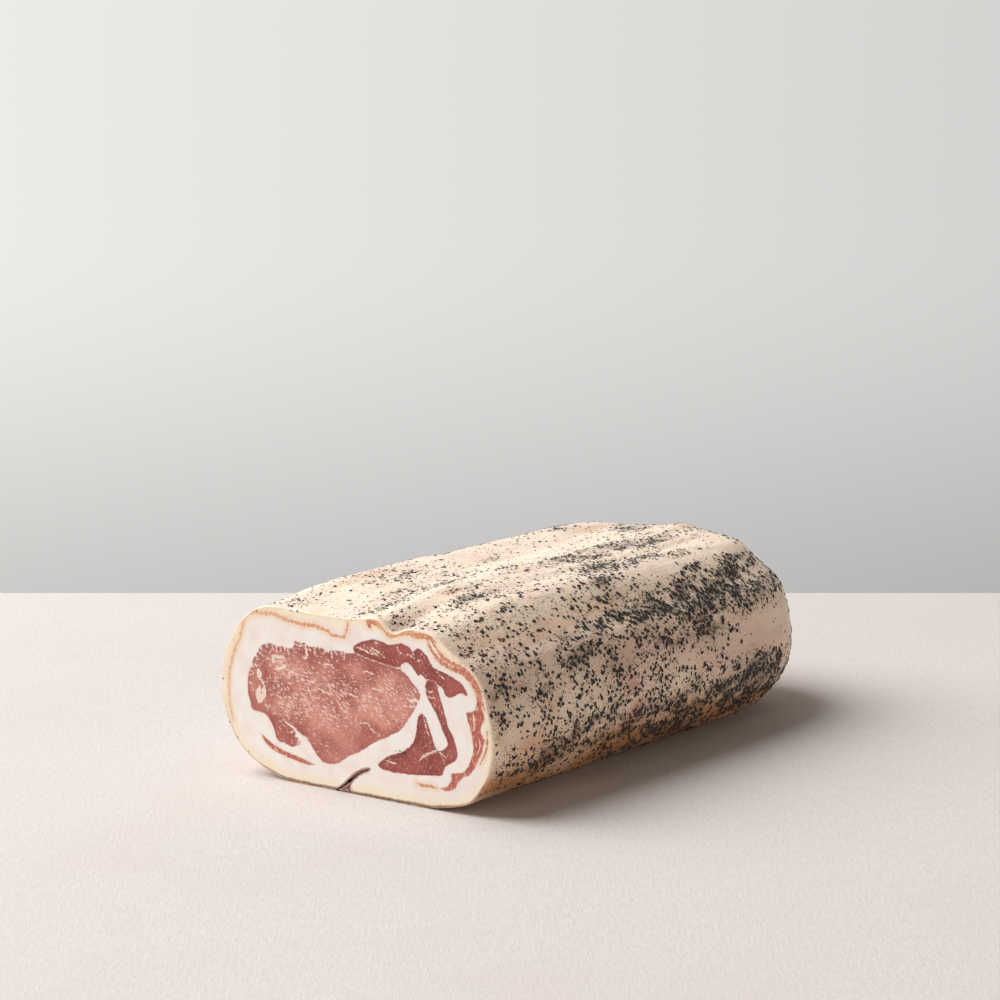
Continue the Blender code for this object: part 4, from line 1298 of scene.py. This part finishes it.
def table_material():
    paint = Paint("table_top", roughness=0.75, specular=0.25)
    weave = paint.noise((7, 1.6, 7), 4, 0.7, turn=(0, 0, CAMERA_HEADING))
    broad = paint.noise((120, 90, 120), 3)
    paint.colour = paint.mix(paint.step(weave, 0.30, 0.72), tone(207, 202, 199), tone(217, 212, 210))
    paint.coat(paint.step(broad, 0.4, 0.7, 0.4), tone(211, 201, 194))
    grit = paint.noise((2.2, 0.9, 2.2), 3, 0.7, turn=(0, 0, CAMERA_HEADING))
    paint.coat(paint.step(grit, 0.52, 0.70, 0.55), tone(199, 189, 181))
    return paint.finish(paint.bump(grit, 0.16, paint.bump(weave, 0.12)))


def add_table():
    corners = [(TABLE_FRONT, -TABLE_HALF_WIDTH), (TABLE_FRONT, TABLE_HALF_WIDTH),
               (TABLE_BACK, TABLE_HALF_WIDTH), (TABLE_BACK, -TABLE_HALF_WIDTH)]
    points = [on_ground(a, b, height) for height in (0.0, -TABLE_THICKNESS) for a, b in corners]
    faces = [(0, 3, 2, 1), (4, 5, 6, 7), (0, 1, 5, 4), (1, 2, 6, 5), (2, 3, 7, 6), (3, 0, 4, 7)]
    stage_mesh("table", points, faces, table_material())


def glowing_wall_material():
    """Painted light: a soft glow of its own instead of lamplight, with painted shade darker to the right
    and low down.
    """
    paint = Paint("glowing_wall")
    paint.nodes.remove(paint.shader)
    where = paint.node("TexCoord", "Object", {})
    across = paint.node("VectorMath", "Value", {0: where, 1: LEFTWARD}, operation="DOT_PRODUCT")
    up = paint.node("SeparateXYZ", "Z", {0: where})
    middle = on_ground(WALL_AHEAD, 0).dot(LEFTWARD)
    side = {"Value": across, "From Min": middle - WALL_FADE, "From Max": middle + WALL_FADE}
    side = paint.node("MapRange", 0, {**side, "To Min": 0.65, "To Max": 0.86})
    rise = {"Value": up, "From Min": -0.55, "From Max": 0.05, "To Min": 0.66, "To Max": 1.0}
    rise = paint.node("MapRange", 0, rise, interpolation_type="SMOOTHSTEP")
    glow = {"Color": WALL_GLOW_COLOUR, "Strength": paint.times(side, rise)}
    paint.fill(paint.nodes["Material Output"], {"Surface": paint.node("Emission", 0, glow)})
    return paint.material


def add_wall():
    corners = ((1, WALL_LOW), (-1, WALL_LOW), (-1, WALL_HIGH), (1, WALL_HIGH))
    corners = [on_ground(WALL_AHEAD, side * WALL_HALF_WIDTH, height) for side, height in corners]
    stage_mesh("glowing_wall", corners, [(0, 1, 2, 3)], glowing_wall_material())


def add_lights():
    """Round soft lamps that face the roll, and a dim warm sky."""
    for name, (leftward, forward, up), distance, size, power, colour in LAMPS:
        data = bpy.data.lights.new(name, "AREA")
        data.shape, data.size, data.energy, data.color = "DISK", size, power, colour
        direction = (LEFTWARD * leftward + FORWARD * forward + UP * up).normalized()
        lamp = add_object(name, data)
        lamp.location = LIGHT_TARGET + direction * distance
        lamp.rotation_euler = (-direction).to_track_quat("-Z", "Y").to_euler()
    world = bpy.data.worlds.new("studio")
    world.use_nodes = True
    sky = world.node_tree.nodes["Background"]
    sky.inputs["Color"].default_value = SKY_COLOUR
    sky.inputs["Strength"].default_value = SKY_STRENGTH
    bpy.context.scene.world = world


def build():
    add_camera()
    add_table()
    add_wall()
    add_lights()
    bpy.context.scene.view_settings.view_transform = "Standard"

    skin = Skin()
    face = CutFace(skin)
    body = make_fat_body(skin, face, [skin_material(), cut_fat_material()])
    add_skin_values(body)
    finishes = {
        "loin_lean": lean_material("loin_lean", *EYE_TONES, EYE_GRAIN),
        "dark_lean": lean_material("dark_lean", *FLANK_TONES, FLANK_GRAIN),
        "streak_lean": streak_material(),
    }
    for number in range(1, len(MUSCLES) + 1):
        make_lean(face, number, finishes)
    make_seam_paste(skin, paste_material())
    black = pepper_material("pepper_black", tone(34, 31, 31), tone(82, 74, 70), 0.6)
    brown = pepper_material("pepper_husk", tone(96, 66, 48), tone(176, 132, 96), 0.65)
    scatter_pepper(skin, black, brown)


build()
